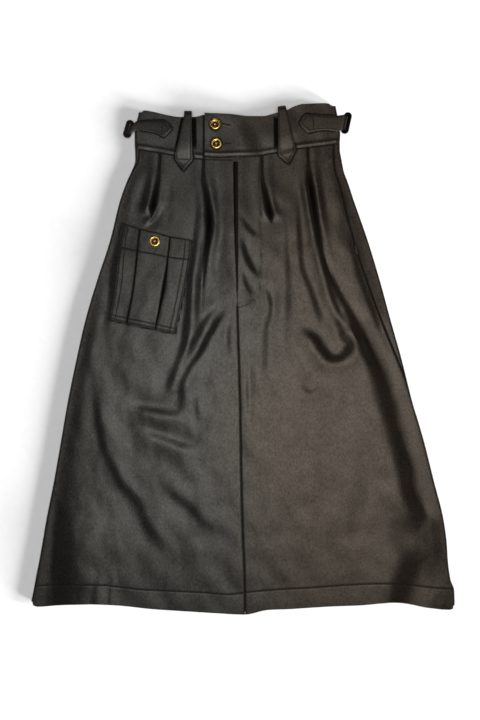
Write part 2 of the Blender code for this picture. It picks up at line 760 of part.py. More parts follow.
def back_band():
    """The flat back waistband between the ends of the front ones."""
    shares = np.array((0.0, 1.0))
    inset = BAND_EDGE / 2 - BAND_UNDER - BAND_EDGE * math.pi / 4 + GAP
    left, right = BAND_SIDES[-1][1] + inset, BAND_SIDES[-1][2] - inset
    outer_columns, inner_columns = [], []
    for share in np.linspace(0, 1, BAND_COLUMNS[2]):
        x_at = left + (right - left) * share
        on_right = x_at < RIGHT_BAND_END
        high = look_up(RIGHT_BAND_TOP if on_right else LEFT_BAND_TOP, x_at, 1) - BACK_BAND_INSET
        high = np.minimum(high, BACK_BAND_RIGHT_TOP) if on_right else high
        low = RIGHT_WAIST[0][1] + (LEFT_WAIST[-1][1] - RIGHT_WAIST[0][1]) * share
        y = high + (low - high) * shares
        near = look_up(BAND_SIDES, y, 1) + inset
        far = look_up(BAND_SIDES, y, 2) - inset
        x = near + (far - near) * share
        outer_columns.append(np.stack((x, y, np.zeros(2)), axis=-1))
        inner_columns.append(np.stack((x, y, np.full(2, BAND_CLOTH)), axis=-1))
    return np.stack(outer_columns, axis=1), np.stack(inner_columns, axis=1)


def underlap():
    """The flat strip under the fly's edges."""
    y = np.linspace(UNDERLAP_TOP, FLY_FOOT, UNDERLAP_ROWS)
    low = CLOTH + GAP
    outer_columns, inner_columns = [], []
    for x_at in UNDERLAP:
        x = np.full(len(y), x_at)
        outer_columns.append(np.stack((x, y, np.full(len(y), low + CLOTH)), axis=-1))
        inner_columns.append(np.stack((x, y, np.full(len(y), low)), axis=-1))
    return np.stack(outer_columns, axis=1), np.stack(inner_columns, axis=1)


def height_on(grid, x, y):
    """Height of a grid's face above each point, read from the triangles that the face is made of."""
    a, b, c, d = grid[:-1, :-1], grid[1:, :-1], grid[1:, 1:], grid[:-1, 1:]
    halves = ((a, b, c), (a, c, d), (a, b, d), (b, c, d))
    corners = np.concatenate([np.stack(half, axis=-2).reshape(-1, 3, 3) for half in halves])
    p, q, r = corners[:, 0], corners[:, 1], corners[:, 2]
    area = (q[:, 0] - p[:, 0]) * (r[:, 1] - p[:, 1]) - (r[:, 0] - p[:, 0]) * (q[:, 1] - p[:, 1])
    keep = abs(area) > 1e-6
    p, q, r, area = p[keep], q[keep], r[keep], area[keep]
    found = []
    for px, py in zip(np.ravel(x), np.ravel(y)):
        s = ((px - p[:, 0]) * (r[:, 1] - p[:, 1]) - (r[:, 0] - p[:, 0]) * (py - p[:, 1])) / area
        t = ((q[:, 0] - p[:, 0]) * (py - p[:, 1]) - (px - p[:, 0]) * (q[:, 1] - p[:, 1])) / area
        inside = (s > -1e-6) & (t > -1e-6) & (s + t < 1 + 1e-6)
        heights = p[:, 2] + s * (q[:, 2] - p[:, 2]) + t * (r[:, 2] - p[:, 2])
        found.append(heights[inside].max())
    return np.array(found).reshape(np.shape(x))


def patch(top, foot, left, right, across, down):
    """Points of a four-sided patch between curved sides. across and down are shares, as arrays."""
    def on(curve, share):
        way = spline(curve)
        length = np.concatenate(([0.0], np.cumsum(np.hypot(*np.diff(way, axis=0).T))))
        at = share * length[-1]
        return np.stack((np.interp(at, length, way[:, 0]), np.interp(at, length, way[:, 1])), axis=-1)

    u, v = np.meshgrid(across, down)
    u, v = u[..., None], v[..., None]
    top_left, top_right, foot_left, foot_right = (
        np.array(p, float) for p in (top[0], top[-1], foot[0], foot[-1])
    )
    between_rows = (1 - v) * on(top, u[..., 0]) + v * on(foot, u[..., 0])
    between_columns = (1 - u) * on(left, v[..., 0]) + u * on(right, v[..., 0])
    upper = (1 - u) * top_left + u * top_right
    lower = (1 - u) * foot_left + u * foot_right
    return between_rows + between_columns - (1 - v) * upper - v * lower


def pocket(front):
    """The pocket's grids: points on the right front, moved out, the middle raised between two pleats."""
    across = np.array(POCKET_COLUMNS)
    down = np.linspace(0, 1, POCKET_ROWS)
    plan = patch(POCKET_TOP, POCKET_FOOT, POCKET_LEFT, POCKET_RIGHT, across, down)
    x, y = plan[..., 0], plan[..., 1]
    first, second = POCKET_PLEATS
    step = POCKET_PLEAT_STEP
    raised = POCKET_PLEAT_RISE * ease((across - first) / step + 0.5) * ease((second - across) / step + 0.5)
    low = height_on(front, x, y) + POCKET_LIFT + raised[None, :]
    return np.stack((x, y, low + CLOTH), axis=-1), np.stack((x, y, low), axis=-1)


def strip(middle_left, middle_right, thickness):
    """Outer and inner grids of a flat strip, from the two sides of its middle plane."""
    middle = (middle_left + middle_right) / 2
    along = np.gradient(middle, axis=0)
    across = middle_right - middle_left
    across = across / np.linalg.norm(across, axis=1)[:, None]
    normal = np.cross(across, along)
    normal = normal / np.linalg.norm(normal, axis=1)[:, None]
    grid = np.stack((middle_left, middle, middle_right), axis=1)
    offset = normal[:, None, :] * thickness / 2
    return grid + offset, grid - offset


def belt_loop(rows, front):
    table = np.array(rows, float)
    z = table[:, 0].copy()
    for row in range(len(rows) - LOOP_SEWN, len(rows)):
        x = table[row, [1, 3]]
        y = table[row, [2, 4]]
        under = height_on(front, np.append(x, x.mean()), np.append(y, y.mean())).max()
        z[row] = under + POCKET_LIFT + STRAP_CLOTH / 2
    left = np.stack((table[:, 1], table[:, 2], z), axis=1)
    right = np.stack((table[:, 3], table[:, 4], z), axis=1)
    return strip(left, right, STRAP_CLOTH)


def buckle_bar(buckle):
    """Place of the bar that the strap turns round: its middle, and the direction along it."""
    side, x, y, z, height, width, tilt, turn = buckle
    out = np.array((math.cos(math.radians(turn)), math.sin(math.radians(turn)), 0.0))
    up = np.array((-out[1], out[0], 0.0))
    lean = side * out * math.cos(math.radians(tilt)) + np.array((0, 0, math.sin(math.radians(tilt))))
    reach = width / 2 - BUCKLE_WIRE
    return np.array((x, y, z)) - lean * reach, up, lean


def adjuster(rows, buckle):
    """Grids of a strap: flat on the band, then round its buckle's bar and back towards the band's edge."""
    side = buckle[0]
    table = np.array(rows, float)
    lie = BAND_EDGE + GAP + STRAP_CLOTH / 2
    upper = [np.array((row[0], row[1], lie)) for row in table]
    lower = [np.array((row[2], row[3], lie)) for row in table]
    bar, up, _ = buckle_bar(buckle)
    half = (table[-1, 1] - table[-1, 3]) / 2
    for angle in TURN_ANGLES:
        turn = math.radians(angle)
        middle = bar + np.array((side * TURN_BACK * math.cos(turn), 0.0, TURN_BACK * math.sin(turn)))
        if angle == 90:
            middle[2] = max(middle[2], lie)
        upper.append(middle + up * half)
        lower.append(middle - up * half)
    return strip(np.array(lower), np.array(upper), STRAP_CLOTH)


def buckle_object(name, buckle, collection, material):
    """A rounded rectangular frame of wire."""
    side, x, y, z, height, width, tilt, turn = buckle
    centre_x = width / 2 - BUCKLE_WIRE - BUCKLE_CORNER
    centre_y = height / 2 - BUCKLE_WIRE - BUCKLE_CORNER
    points = []
    for sx, sy, start in ((1, 1, 0), (-1, 1, 90), (-1, -1, 180), (1, -1, 270)):
        for part in range(4):
            angle = math.radians(start + 30 * part)
            px = sx * centre_x + BUCKLE_CORNER * math.cos(angle)
            py = sy * centre_y + BUCKLE_CORNER * math.sin(angle)
            points.append((px, py))
    curve = bpy.data.curves.new(name, "CURVE")
    curve.dimensions = "3D"
    curve.bevel_depth = BUCKLE_WIRE * MM
    curve.bevel_resolution = 2
    line = curve.splines.new("POLY")
    line.points.add(len(points) - 1)
    for point, (px, py) in zip(line.points, points):
        point.co = (px * MM, py * MM, 0, 1)
    line.use_cyclic_u = True
    curve.materials.append(material)
    thing = bpy.data.objects.new(name, curve)
    thing.location = (x * MM, y * MM, z * MM)
    thing.rotation_euler = (0, -math.radians(tilt) * side, math.radians(turn))
    collection.objects.link(thing)


def button_object(name, x, y, foot, collection, material):
    """A turned button with a rolled rim and a recessed middle."""
    mesh = bpy.data.meshes.new(name)
    points = [(radius * MM, 0, height * MM) for radius, height in BUTTON_PROFILE]
    mesh.from_pydata(points, [(i, i + 1) for i in range(len(points) - 1)], [])
    mesh.materials.append(material)
    thing = bpy.data.objects.new(name, mesh)
    turned = thing.modifiers.new("turned", "SCREW")
    turned.steps = BUTTON_STEPS
    turned.render_steps = BUTTON_STEPS
    turned.use_merge_vertices = True
    turned.merge_threshold = 0.00001
    thing.location = (x * MM, y * MM, foot * MM)
    collection.objects.link(thing)


def main():
    for thing in list(bpy.data.objects):
        bpy.data.objects.remove(thing, do_unlink=True)
    collection = bpy.data.collections.new(COLLECTION)
    bpy.context.scene.collection.children.link(collection)
    wool, brass, black = (make_material(name) for name in MATERIALS)

    right_front = front_panel(-1)
    left_front = front_panel(1)
    right_steps, left_steps, _ = BAND_COLUMNS
    right_band = front_band(-1, right_band_rise, RIGHT_BAND_TOP, RIGHT_WAIST, RIGHT_BAND_END, right_steps)
    left_band = front_band(1, left_band_rise, LEFT_BAND_TOP, LEFT_WAIST, TAB_END, left_steps)
    pocket_walls = pocket(right_front[0])
    walls = {
        "front_right": right_front,
        "front_left": left_front,
        "back": back_panel(),
        "fly_underlap": underlap(),
        "waistband_right": right_band,
        "waistband_left": left_band,
        "waistband_back": back_band(),
        "cargo_pocket": pocket_walls,
        "belt_loop_right": belt_loop(RIGHT_LOOP, right_front[0]),
        "belt_loop_left": belt_loop(LEFT_LOOP, left_front[0]),
        "adjuster_strap_right": adjuster(RIGHT_STRAP, BUCKLES[0]),
        "adjuster_strap_left": adjuster(LEFT_STRAP, BUCKLES[1]),
    }
    for name, (outer, inner) in walls.items():
        add_object(name, wall_mesh(name, outer, inner), collection, wool)
    for name, buckle in zip(("buckle_right", "buckle_left"), BUCKLES):
        buckle_object(name, buckle, collection, black)
    for name, x, y in BUTTON_PLACES:
        ring = np.radians(np.arange(0, 360, 30))
        carrier = pocket_walls[0] if name == "pocket_button" else left_band[0]
        radius = BUTTON_PROFILE[-2][0]
        foot = height_on(carrier, x + radius * np.cos(ring), y + radius * np.sin(ring)).max() + GAP
        button_object(name, x, y, foot, collection, brass)


main()
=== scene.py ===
"""Looks of the gurkha skirt that is laid flat: cloth, sewing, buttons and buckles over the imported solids.

The tables and named sizes are those of the solids, in millimetres, with finer folds beside them.
X runs to the wearer's left, Y up to the waist and Z up from the surface.
"""

import json
import math

import bpy
import numpy as np
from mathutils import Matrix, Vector

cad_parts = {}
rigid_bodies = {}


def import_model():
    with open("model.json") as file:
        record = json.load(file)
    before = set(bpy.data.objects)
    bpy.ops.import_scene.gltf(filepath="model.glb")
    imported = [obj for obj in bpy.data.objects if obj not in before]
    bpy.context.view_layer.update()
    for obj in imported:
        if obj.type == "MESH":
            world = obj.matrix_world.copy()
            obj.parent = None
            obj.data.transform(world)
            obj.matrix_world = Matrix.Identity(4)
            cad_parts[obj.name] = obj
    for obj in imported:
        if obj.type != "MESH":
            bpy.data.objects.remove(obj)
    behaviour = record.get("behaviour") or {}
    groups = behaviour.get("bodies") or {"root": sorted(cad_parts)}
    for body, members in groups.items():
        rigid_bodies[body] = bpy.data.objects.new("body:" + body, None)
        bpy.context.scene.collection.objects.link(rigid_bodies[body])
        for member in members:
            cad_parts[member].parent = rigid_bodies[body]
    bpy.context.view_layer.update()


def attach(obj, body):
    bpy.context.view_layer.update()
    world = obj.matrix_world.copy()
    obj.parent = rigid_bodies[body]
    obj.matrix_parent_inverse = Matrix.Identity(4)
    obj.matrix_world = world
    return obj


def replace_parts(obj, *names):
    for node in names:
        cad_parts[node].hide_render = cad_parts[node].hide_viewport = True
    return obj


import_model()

MM = 0.001

# Cloth and how it lies
CLOTH = 1.6  # thickness of the wool twill
BAND_CLOTH = 3.0  # two layers and the stiffener of the waistband
STRAP_CLOTH = 2.4  # belt loops and adjuster straps, folded double
GAP = 0.3  # between neighbouring pieces
PANEL_EDGE = 6.0  # height of the skirt over its side fold edges
BAND_EDGE = 7.2  # height of the waistband, all over
LOFT = 7.0  # plain height of the front's outer face
LOWEST = 4.0  # the deepest trough of the front's outer face
LOWEST_OVER_UNDERLAP = 5.9
LOWEST_ROUNDING = 2.0
EDGE_BLEND = 24.0  # the way over which the front falls to its fold edge
STEEPEST = 1.0  # slope past which a wall gets no thicker

# Outline of the skirt below the waistband
OUTLINE = (  # y, left fold edge, right fold edge
    (357, -179, 160), (347, -178.5, 160), (328, -178, 163), (308, -185, 167), (295, -191, 172),
    (262, -203, 183), (196, -219.5, 206), (130, -241, 226), (64, -260.5, 244), (-2, -275.5, 262.5),
    (-68, -289, 279), (-134, -300.5, 298.5), (-200, -312, 315), (-266, -325, 331.5), (-307, -332, 337),
    (-332, -336.5, 338.5), (-365, -343, 343), (-382, -346, 349), (-400, -349.8, 349.8),
)
HEM = (  # x, y
    (-349.8, -401), (-346.5, -407), (-338, -409.5), (-287, -405.5), (-251, -404.5), (-216, -406),
    (-148, -413), (-104, -416), (-48, -419.5), (2, -422), (41, -414.5), (78, -412.8), (144, -408.7),
    (188, -407), (233, -403), (246, -402), (269, -404), (305, -411), (341, -414.5), (347.5, -412),
    (349.8, -407),
)
BACK_HEM_INSET = 4.0  # the back ends this far above the front's hem, and shows only from below
RIGHT_WAIST = (  # x, y of the seam between the right front and the waistband
    (-179, 346.5), (-140, 340.5), (-112, 335.5), (-82, 331), (-65, 329.5), (-16, 328),
)
LEFT_WAIST = (  # x, y of the seam between the left front and the waistband
    (-64, 334.3), (-39, 332.5), (-16, 333.5), (18, 334.5), (31, 336), (58, 341), (86.5, 346), (148, 354),
    (160, 356.5),
)
SIDE_SEAM = (  # y, place of the seam round the left fold edge and round the right one
    (357, 9, 11.5), (346, 8, 12), (322, 5, 15), (300, 1.5, 16.5), (270, -4, 18), (225, -12.7, 23),
    (175, -12.7, 25.5), (125, -12.7, 23), (62, -12.7, 17), (1, -12.7, 9.5), (-42, -12.7, 2.5),
    (-90, -12.7, -4), (-150, -12.7, -12.7), (-420, -12.7, -12.7),
)
FLY = (  # y, edge of the right front, edge of the left front
    (334, -16.5, -7.8), (262, -15.7, -7.6), (196, -14, -7.9), (130, -11.5, -8.2), (90, -9.9, -9.3),
    (60, -8.9, -8.6), (14, -7.3, -7.0), (-76, -4.9, -4.6), (-167, -3.3, -3.0), (-250, -1.6, -1.3),
    (-386, 3.1, 3.4), (-424, 3.2, 3.5),
)
FLY_FOOT = 88.0
FLY_RISE = 2.4  # the fronts stand this much higher over the fly's underlap
FLY_REACH = 34.0
FLY_FADE = (-40.0, 20.0)  # y from the fly's foot over which the rise comes in
UNDERLAP = (-30.0, 9.0)  # its two long sides
UNDERLAP_MARGIN = 6.0
UNDERLAP_TOP = 326.0

# Columns of the front panels follow these lines, which start as the pleats
RIGHT_GUIDES = (  # y, outer pleat, inner pleat
    (330, -137, -65), (302, -139.5, -66), (270, -145, -60), (226, -153, -55.5), (155, -168, -63),
    (64, -178, -68), (-101, -190, -74), (-266, -206, -76), (-420, -216, -76),
)
LEFT_GUIDES = (  # y, inner pleat, outer pleat and the long fold that follows it
    (346, 30.7, 107), (302, 31.3, 109.5), (268, 38, 114), (226, 47, 120.5), (180, 52, 130),
    (138, 57, 143.5), (56, 63, 176.5), (14, 66, 203), (-68, 69, 234), (-165, 73, 264), (-251, 76, 285.5),
    (-420, 81, 304),
)

PLEATS = (  # guide, y where it opens, is widest and closes, width, depth, rise of its left and right lips
    ((RIGHT_GUIDES, 1), 306, 252, 232, 8.0, 4.6, 3.0, 1.4),
    ((RIGHT_GUIDES, 2), 301, 230, 118, 9.0, 4.6, 1.8, 2.4),
    ((LEFT_GUIDES, 1), 304, 242, 224, 8.0, 4.6, 1.6, 2.6),
    ((LEFT_GUIDES, 2), 316, 284, 120, 8.5, 5.0, 2.2, 2.8),
)
PLEAT_STITCHED = 0.28  # share of a pleat's depth in the length that is sewn down
PLEAT_SEWN_HALF = 1.6  # half width of the slit there
PLEAT_START = 12.0  # a slit starts to open this far above its opening
LIP_OFFSET = 9.0
LIP_WIDTH = 8.0
LIP_SEWN = 0.35  # share of a lip's rise beside the sewn length
LIP_FADE = 60.0

# Creases. Each is a band of slope along a line: tilt, width at its start and end, fade in and out as
# shares of the length, path of x, y. A positive tilt falls to the left of travel. Beside the band the
# cloth comes back slowly.
CREASES = (
    # long fold
    (0.36, 3, 9, 0.05, 0.3, (
        (109, 298), (112, 262), (120, 213), (134, 160), (153, 117), (175, 77), (195, 34), (216, -22),
        (234, -68),
    )),
    # long fold low
    (0.42, 12, 15, 0.12, 0.28, (
        (182, 67), (198, 29), (221, -22), (239, -76), (254, -129), (271, -179), (280, -225), (294, -269),
    )),
    # beside it
    (0.36, 3.6, 4.6, 0.25, 0.25, ((125, 188), (134, 147), (147, 102), (160, 72), (173, 52))),
    # lit panel
    (-0.12, 8, 11, 0.3, 0.3, ((162, 97), (193, 23), (226, -43), (256, -109), (282, -175), (305, -233))),
    # along seam
    (0.18, 4.5, 6, 0.3, 0.3, ((170, 226), (186, 160), (210, 89), (234, 31), (259, -22), (279, -75))),
    # smile
    (0.5, 7, 8, 0.3, 0.2, (
        (87, 54), (104, 44), (119, 34), (130, 16), (145, 1), (163, 3), (178, 21), (185, 43),
    )),
    # crease
    (0.36, 2.6, 2.6, 0.4, 0.4, ((175, 61), (183, 46), (193, 23))),
    # v lit
    (-0.34, 6, 5, 0.4, 0.4, ((152, 74), (160, 51), (168, 23))),
    # soft 300
    (0.28, 4.5, 6, 0.3, 0.25, ((89, 287), (92, 221), (97, 155), (111, 114), (124, 77), (130, 39))),
    # warm 287
    (0.17, 4.5, 6, 0.3, 0.4, ((68, 279), (73, 180), (74, 81), (71, 6))),
    # cool 268
    (0.18, 5, 8, 0.4, 0.5, ((33, 97), (36, 39), (36, -60))),
    # by centre
    (0.3, 2.4, 3.4, 0.4, 0.4, ((7, 23), (7, -51), (8, -126))),
    # lower right
    (0.34, 14, 15, 0.5, 0.4, ((256, -183), (282, -238), (302, -286))),
    # foot right
    (0.3, 20, 16, 0.5, 0, ((299, -299), (272, -345), (252, -411))),
    # crumple 1
    (0.22, 3, 4, 0.4, 0.4, ((-5, 239), (10, 214), (31, 198))),
    # crumple 2
    (0.38, 3.2, 4.5, 0.3, 0.4, ((-2, 203), (5, 170), (20, 143), (35, 128))),
    # crumple 3
    (0.26, 2.6, 3, 0.4, 0.4, ((-3, 150), (7, 118), (23, 102))),
    # under fly
    (0.34, 3.4, 4.5, 0.3, 0.5, ((31, 125), (41, 109), (46, 87), (41, 56), (38, 23))),
    # v small
    (0.26, 5, 5, 0.5, 0.5, ((87, -28), (111, -55), (134, -28))),
    # lip 3
    (-0.16, 5, 6, 0.4, 0.5, ((45, 295), (59, 254), (63, 196))),
    # hip
    (-0.1, 9, 8, 0.4, 0.4, ((130, 312), (150, 237), (163, 180))),
    # left of pleat 2
    (-0.4, 3.5, 7.5, 0.3, 0.14, (
        (-73, 279), (-79, 198), (-87, 135), (-91, 82), (-97, 23), (-109, -10), (-120, -38), (-124, -60),
        (-114, -71),
    )),
    # below pleat 2
    (-0.26, 4, 4, 0.2, 0.4, ((-61, 237), (-61, 171), (-66, 114), (-68, 56))),
    # ridge by it
    (0.28, 6, 8, 0.4, 0.4, ((-69, 188), (-73, 114), (-79, 56), (-91, 15))),
    # diagonal
    (-0.4, 5, 6.5, 0.2, 0.35, (
        (-16, 85), (-38, 67), (-56, 39), (-71, 11), (-89, -15), (-101, -42), (-102, -68), (-104, -104),
    )),
    # diagonal lit
    (0.32, 5, 7, 0.35, 0.4, ((-23, 104), (-56, 71), (-74, 41), (-92, 8), (-111, -25))),
    # left of centre
    (-0.2, 3.5, 4, 0.4, 0.5, ((-20, 77), (-23, 39), (-23, -10))),
    # across 1
    (0.34, 7, 8, 0.35, 0.3, ((-193, -75), (-153, -84), (-92, -94))),
    # across 2
    (0.28, 7, 8, 0.35, 0.35, ((-183, -113), (-137, -129), (-91, -144), (-58, -134))),
    # down 198
    (-0.14, 5, 5, 0.4, 0.4, ((-78, -40), (-74, -117))),
    # left trough
    (-0.22, 6, 9, 0.25, 0.25, (
        (-248, -27), (-241, -88), (-231, -144), (-214, -183), (-198, -210), (-175, -236), (-163, -268),
        (-145, -292), (-125, -309), (-97, -320),
    )),
    # left trough side
    (0.05, 12, 14, 0.4, 0.5, ((-229, 48), (-226, -35), (-214, -117), (-193, -183))),
    # brown
    (0.05, 14, 14, 0.4, 0.4, ((-203, -18), (-200, -101), (-180, -167), (-153, -216))),
    # diag low
    (-0.17, 7, 9, 0.35, 0.35, ((-150, -193), (-117, -223), (-87, -246), (-61, -274), (-25, -302))),
    # corner left
    (-0.32, 26, 28, 0.5, 0, ((-285, -200), (-302, -266), (-305, -332), (-299, -411))),
    # left band
    (-0.02, 6, 7, 0.4, 0.4, ((-256, 31), (-266, -35), (-274, -134), (-279, -233))),
    # left rise
    (0.05, 24, 26, 0.3, 0.35, ((-223, 147), (-243, 48), (-259, -35), (-272, -134))),
    # left edge up
    (-0.24, 5, 5, 0.3, 0.4, ((-201, 237), (-211, 171), (-218, 97), (-229, 23))),
    # curl
    (0.45, 2.8, 3.4, 0.3, 0.3, ((-140, 262), (-142, 242), (-152, 226), (-168, 217))),
    # curl lit
    (0.09, 4, 4.5, 0.4, 0.4, ((-155, 269), (-158, 246), (-168, 227))),
    # hip 172
    (-0.12, 7, 8, 0.4, 0.4, ((-116, 302), (-119, 254), (-120, 204))),
    # hip 130
    (0.12, 8, 8, 0.4, 0.4, ((-165, 315), (-178, 270), (-190, 237))),
    # ripple 1
    (-0.2, 3, 4.5, 0.5, 0, ((-233, -348), (-243, -378), (-246, -408))),
    # ripple 2
    (-0.18, 3, 4, 0.5, 0, ((-214, -355), (-219, -381), (-221, -408))),
    # ripple 3
    (0.18, 3, 4, 0.5, 0, ((210, -355), (216, -381), (219, -408))),
    # ripple 4
    (0.2, 3, 4, 0.5, 0, ((244, -348), (252, -378), (254, -408))),
)
RECOVERY = 3.2  # widths over which the cloth comes back
CREASE_REACH = 7.0  # widths past which a crease isn't felt
WAVES = (  # rise, length, direction of the slope in degrees, phase
    (0.22, 61, 8, 0.4), (0.20, 83, -27, 2.1), (0.13, 37, 14, 4.0), (0.12, 47, 71, 1.2),
    (0.05, 19, -12, 3.3),
)
WAVE_WANDER, WAVE_WANDER_RATE = 1.6, 2.3  # how far, and how often, a wave's line sways
WAVE_TOP, WAVE_FADE = 330.0, 90.0
CROWN = 2.2  # the dressed front stands this much higher, away from the waist and the edges
CROWN_TOP = (300.0, 160.0)
CROWN_SIDE = 60.0

# Waistband
RIGHT_BAND_TOP = (  # x, y
    (-173, 407), (-169.5, 410), (-155, 408), (-127, 402), (-107, 399.3), (-82, 399.3), (-64, 403),
    (-12, 401.5),
)
LEFT_BAND_TOP = (  # x, y
    (-63.5, 405.6), (-21.5, 403.8), (11.5, 400.5), (35, 400.8), (56, 405.7), (73, 409.5), (90, 417),
    (105, 420.8), (143, 422), (149.5, 421), (152.5, 417.5),
)
BAND_SIDES = (  # y, left fold edge, right fold edge
    (422, -172, 152), (407, -172.5, 155), (385, -177.5, 159), (370, -178.8, 160.7), (357, -179, 160),
    (346, -178.5, 160),
)
RIGHT_BAND_END = -12.0
TAB_END = -63.5
TAB_LIFT = 4.4  # the tab lies on the right waistband
TAB_SLOPE = (-8.0, 34.0)  # the lift ends between these
BAND_UNDER = -14.0  # the front waistbands end this far round their fold edges, on the underside
SEAM_ROLL = 0.9  # rise of the rolled ridge along the waistband's lower seam
SEAM_ROLL_OVER = 5.5
SEAM_ROLL_WIDTH = 3.2
BAND_ROLL_END = 5.0  # the last column of the roll, past the quarter turn
BACK_BAND_INSET = 3.0
BACK_BAND_RIGHT_TOP = 398.0  # it stays below the right one's upper edge

# Belt loops: height of the middle plane, left x and y, right x and y, from the root to the point
RIGHT_LOOP = (
    (5.7, -97, 399.8, -84.5, 399.8), (5.9, -97, 404.5, -84.5, 404.5), (8.2, -97, 407.2, -84.5, 407.2),
    (11.4, -97, 407.6, -84.5, 407.6), (14.0, -97, 404.8, -84.5, 404.8), (14.9, -97.2, 400, -84.4, 400),
    (15.0, -100.5, 388.6, -84.3, 389), (14.8, -106.5, 360, -84, 362), (13.6, -110.5, 344, -83.8, 346),
    (11.9, -112.3, 336, -83.6, 338), (10.1, -112.7, 330.5, -83.1, 329.2), (9.4, -106, 321, -90.5, 320),
    (9.2, -99.6, 311.5, -98, 311.3),
)
LEFT_LOOP = (
    (5.7, 59, 408, 72.2, 411.4), (5.9, 58, 412, 71, 414.6), (8.2, 57.4, 414.2, 70.3, 416),
    (11.4, 57.2, 414.8, 70.1, 416.7), (14.0, 57.2, 412, 70.6, 414), (14.9, 57.3, 407, 71.6, 409.6),
    (15.0, 57.6, 392, 75.2, 396), (14.8, 58.1, 366, 81.2, 371), (13.6, 58.4, 350, 84.8, 356),
    (11.9, 58.6, 342, 86.6, 349), (10.1, 58.8, 336.6, 87.1, 344.5), (9.4, 66, 329.5, 82, 333.5),
    (9.2, 74.5, 322.3, 76, 322.3),
)
LOOP_SEWN = 2  # the last rows of a loop lie on the panel

# Adjuster straps: x and y of the upper side, x and y of the lower side, from the point to the fold edge
RIGHT_STRAP = (
    (-117.3, 380.6, -117.3, 378.8), (-128.5, 393, -131, 366.5), (-142, 393.4, -142, 371.6),
    (-157, 393, -157, 375.4), (-170, 392, -170, 377), (-177, 391.4, -177, 376.6),
)
LEFT_STRAP = (
    (93.2, 389.6, 93.2, 387.6), (102.5, 403.8, 107.4, 373.4), (120, 402.8, 120, 375.8),
    (136, 402.2, 136, 377.4), (150, 401.6, 150, 376), (157, 401.2, 157, 375),
)
BUCKLES = (  # side, centre x, y, z, height, width, tilt from the surface, turn in the surface
    (-1, -188.8, 379.5, 6.6, 30.0, 13.5, 12, -16), (1, 170.4, 389.0, 9.0, 36.0, 15.0, 36, -12),
)
BUCKLE_WIRE = 2.0  # radius
BUCKLE_CORNER = 3.2  # radius of its corners
TURN_BACK = 4.0  # radius of a strap's middle plane round the buckle's bar
TURN_ANGLES = (90, 45, 0, -45, -90)

# Cargo pocket on the right front
POCKET_TOP = ((-200, 223.5), (-170, 213.5), (-145, 207.5), (-118, 200), (-85, 195))
POCKET_LEFT = ((-200, 223.5), (-204, 197), (-210.5, 124), (-221, 64.5))
POCKET_RIGHT = ((-85, 195), (-88, 163.5), (-96.5, 115), (-112.5, 41.5))
POCKET_FOOT = ((-221, 64.5), (-191, 58), (-143, 48), (-112.5, 41.5))
POCKET_LIFT = 0.7  # clearance over the panel's faceted face
POCKET_PLEATS = (0.268, 0.705)
POCKET_PLEAT_RISE = 1.5  # the middle of the pocket stands above its sides
POCKET_PLEAT_STEP = 0.04  # share of the width in which it rises

BUTTON_PLACES = (  # name, x, y
    ("waist_button_upper", -45.9, 386.4),
    ("waist_button_lower", -43.9, 354.8),
    ("pocket_button", -145.5, 193.5),
)

def column(table, index):
    return np.array([row[index] for row in table], float)


def smooth(at, knots, values):
    """Values at points between the knots, on a smooth curve that never overshoots a knot."""
    order = np.argsort(knots)
    knots, values = knots[order], values[order]
    step = np.diff(knots)
    slope = np.diff(values) / step
    before, after = slope[:-1], slope[1:]
    same_way = before * after > 0
    total = np.where(same_way, before + after, 1.0)
    tangent = np.concatenate(([slope[0]], np.where(same_way, 2 * before * after / total, 0.0), [slope[-1]]))
    at = np.clip(np.asarray(at, float), knots[0], knots[-1])
    i = np.clip(np.searchsorted(knots, at, side="right") - 1, 0, len(step) - 1)
    t = (at - knots[i]) / step[i]
    return (
        values[i] * (1 + 2 * t) * (1 - t) ** 2
        + tangent[i] * step[i] * t * (1 - t) ** 2
        + values[i + 1] * t**2 * (3 - 2 * t)
        + tangent[i + 1] * step[i] * t**2 * (t - 1)
    )


def look_up(table, at, index):
    """The value in one column of a table, smoothly between its rows, read by the first column."""
    return smooth(at, column(table, 0), column(table, index))


def ease(t):
    t = np.clip(t, 0.0, 1.0)
    return t * t * (3 - 2 * t)


def bell(away, width, power=2):
    """1 in the middle, falling to nothing past this width."""
    return np.exp(-((away / width) ** power))


def from_edges(x, y):
    """Distance in from the nearer of the two side fold edges."""
    return np.minimum(x - look_up(OUTLINE, y, 1), look_up(OUTLINE, y, 2) - x)


def centre_line(y):
    return (look_up(FLY, y, 1) + look_up(FLY, y, 2)) / 2


def slopes(rise, x, y):
    return rise(x + 0.5, y) - rise(x - 0.5, y), rise(x, y + 0.5) - rise(x, y - 0.5)


def near_path(x, y, path, reach):
    """The points within reach of a path's box."""
    path_x, path_y = column(path, 0), column(path, 1)
    near = (x > path_x.min() - reach) & (x < path_x.max() + reach)
    return near & (y > path_y.min() - reach) & (y < path_y.max() + reach)


def spline(points, steps=6):
    """Points along a smooth curve through the given ones."""
    points = np.array(points, float)
    padded = np.vstack((2 * points[0] - points[1], points, 2 * points[-1] - points[-2]))
    t = np.linspace(0, 1, steps, endpoint=False)[:, None]
    found = []
    for a, b, c, d in zip(padded, padded[1:], padded[2:], padded[3:]):
        square = (2 * a - 5 * b + 4 * c - d) * t**2
        cube = (3 * b - a - 3 * c + d) * t**3
        found.append((2 * b + (c - a) * t + square + cube) / 2)
    return np.vstack((*found, points[-1:]))


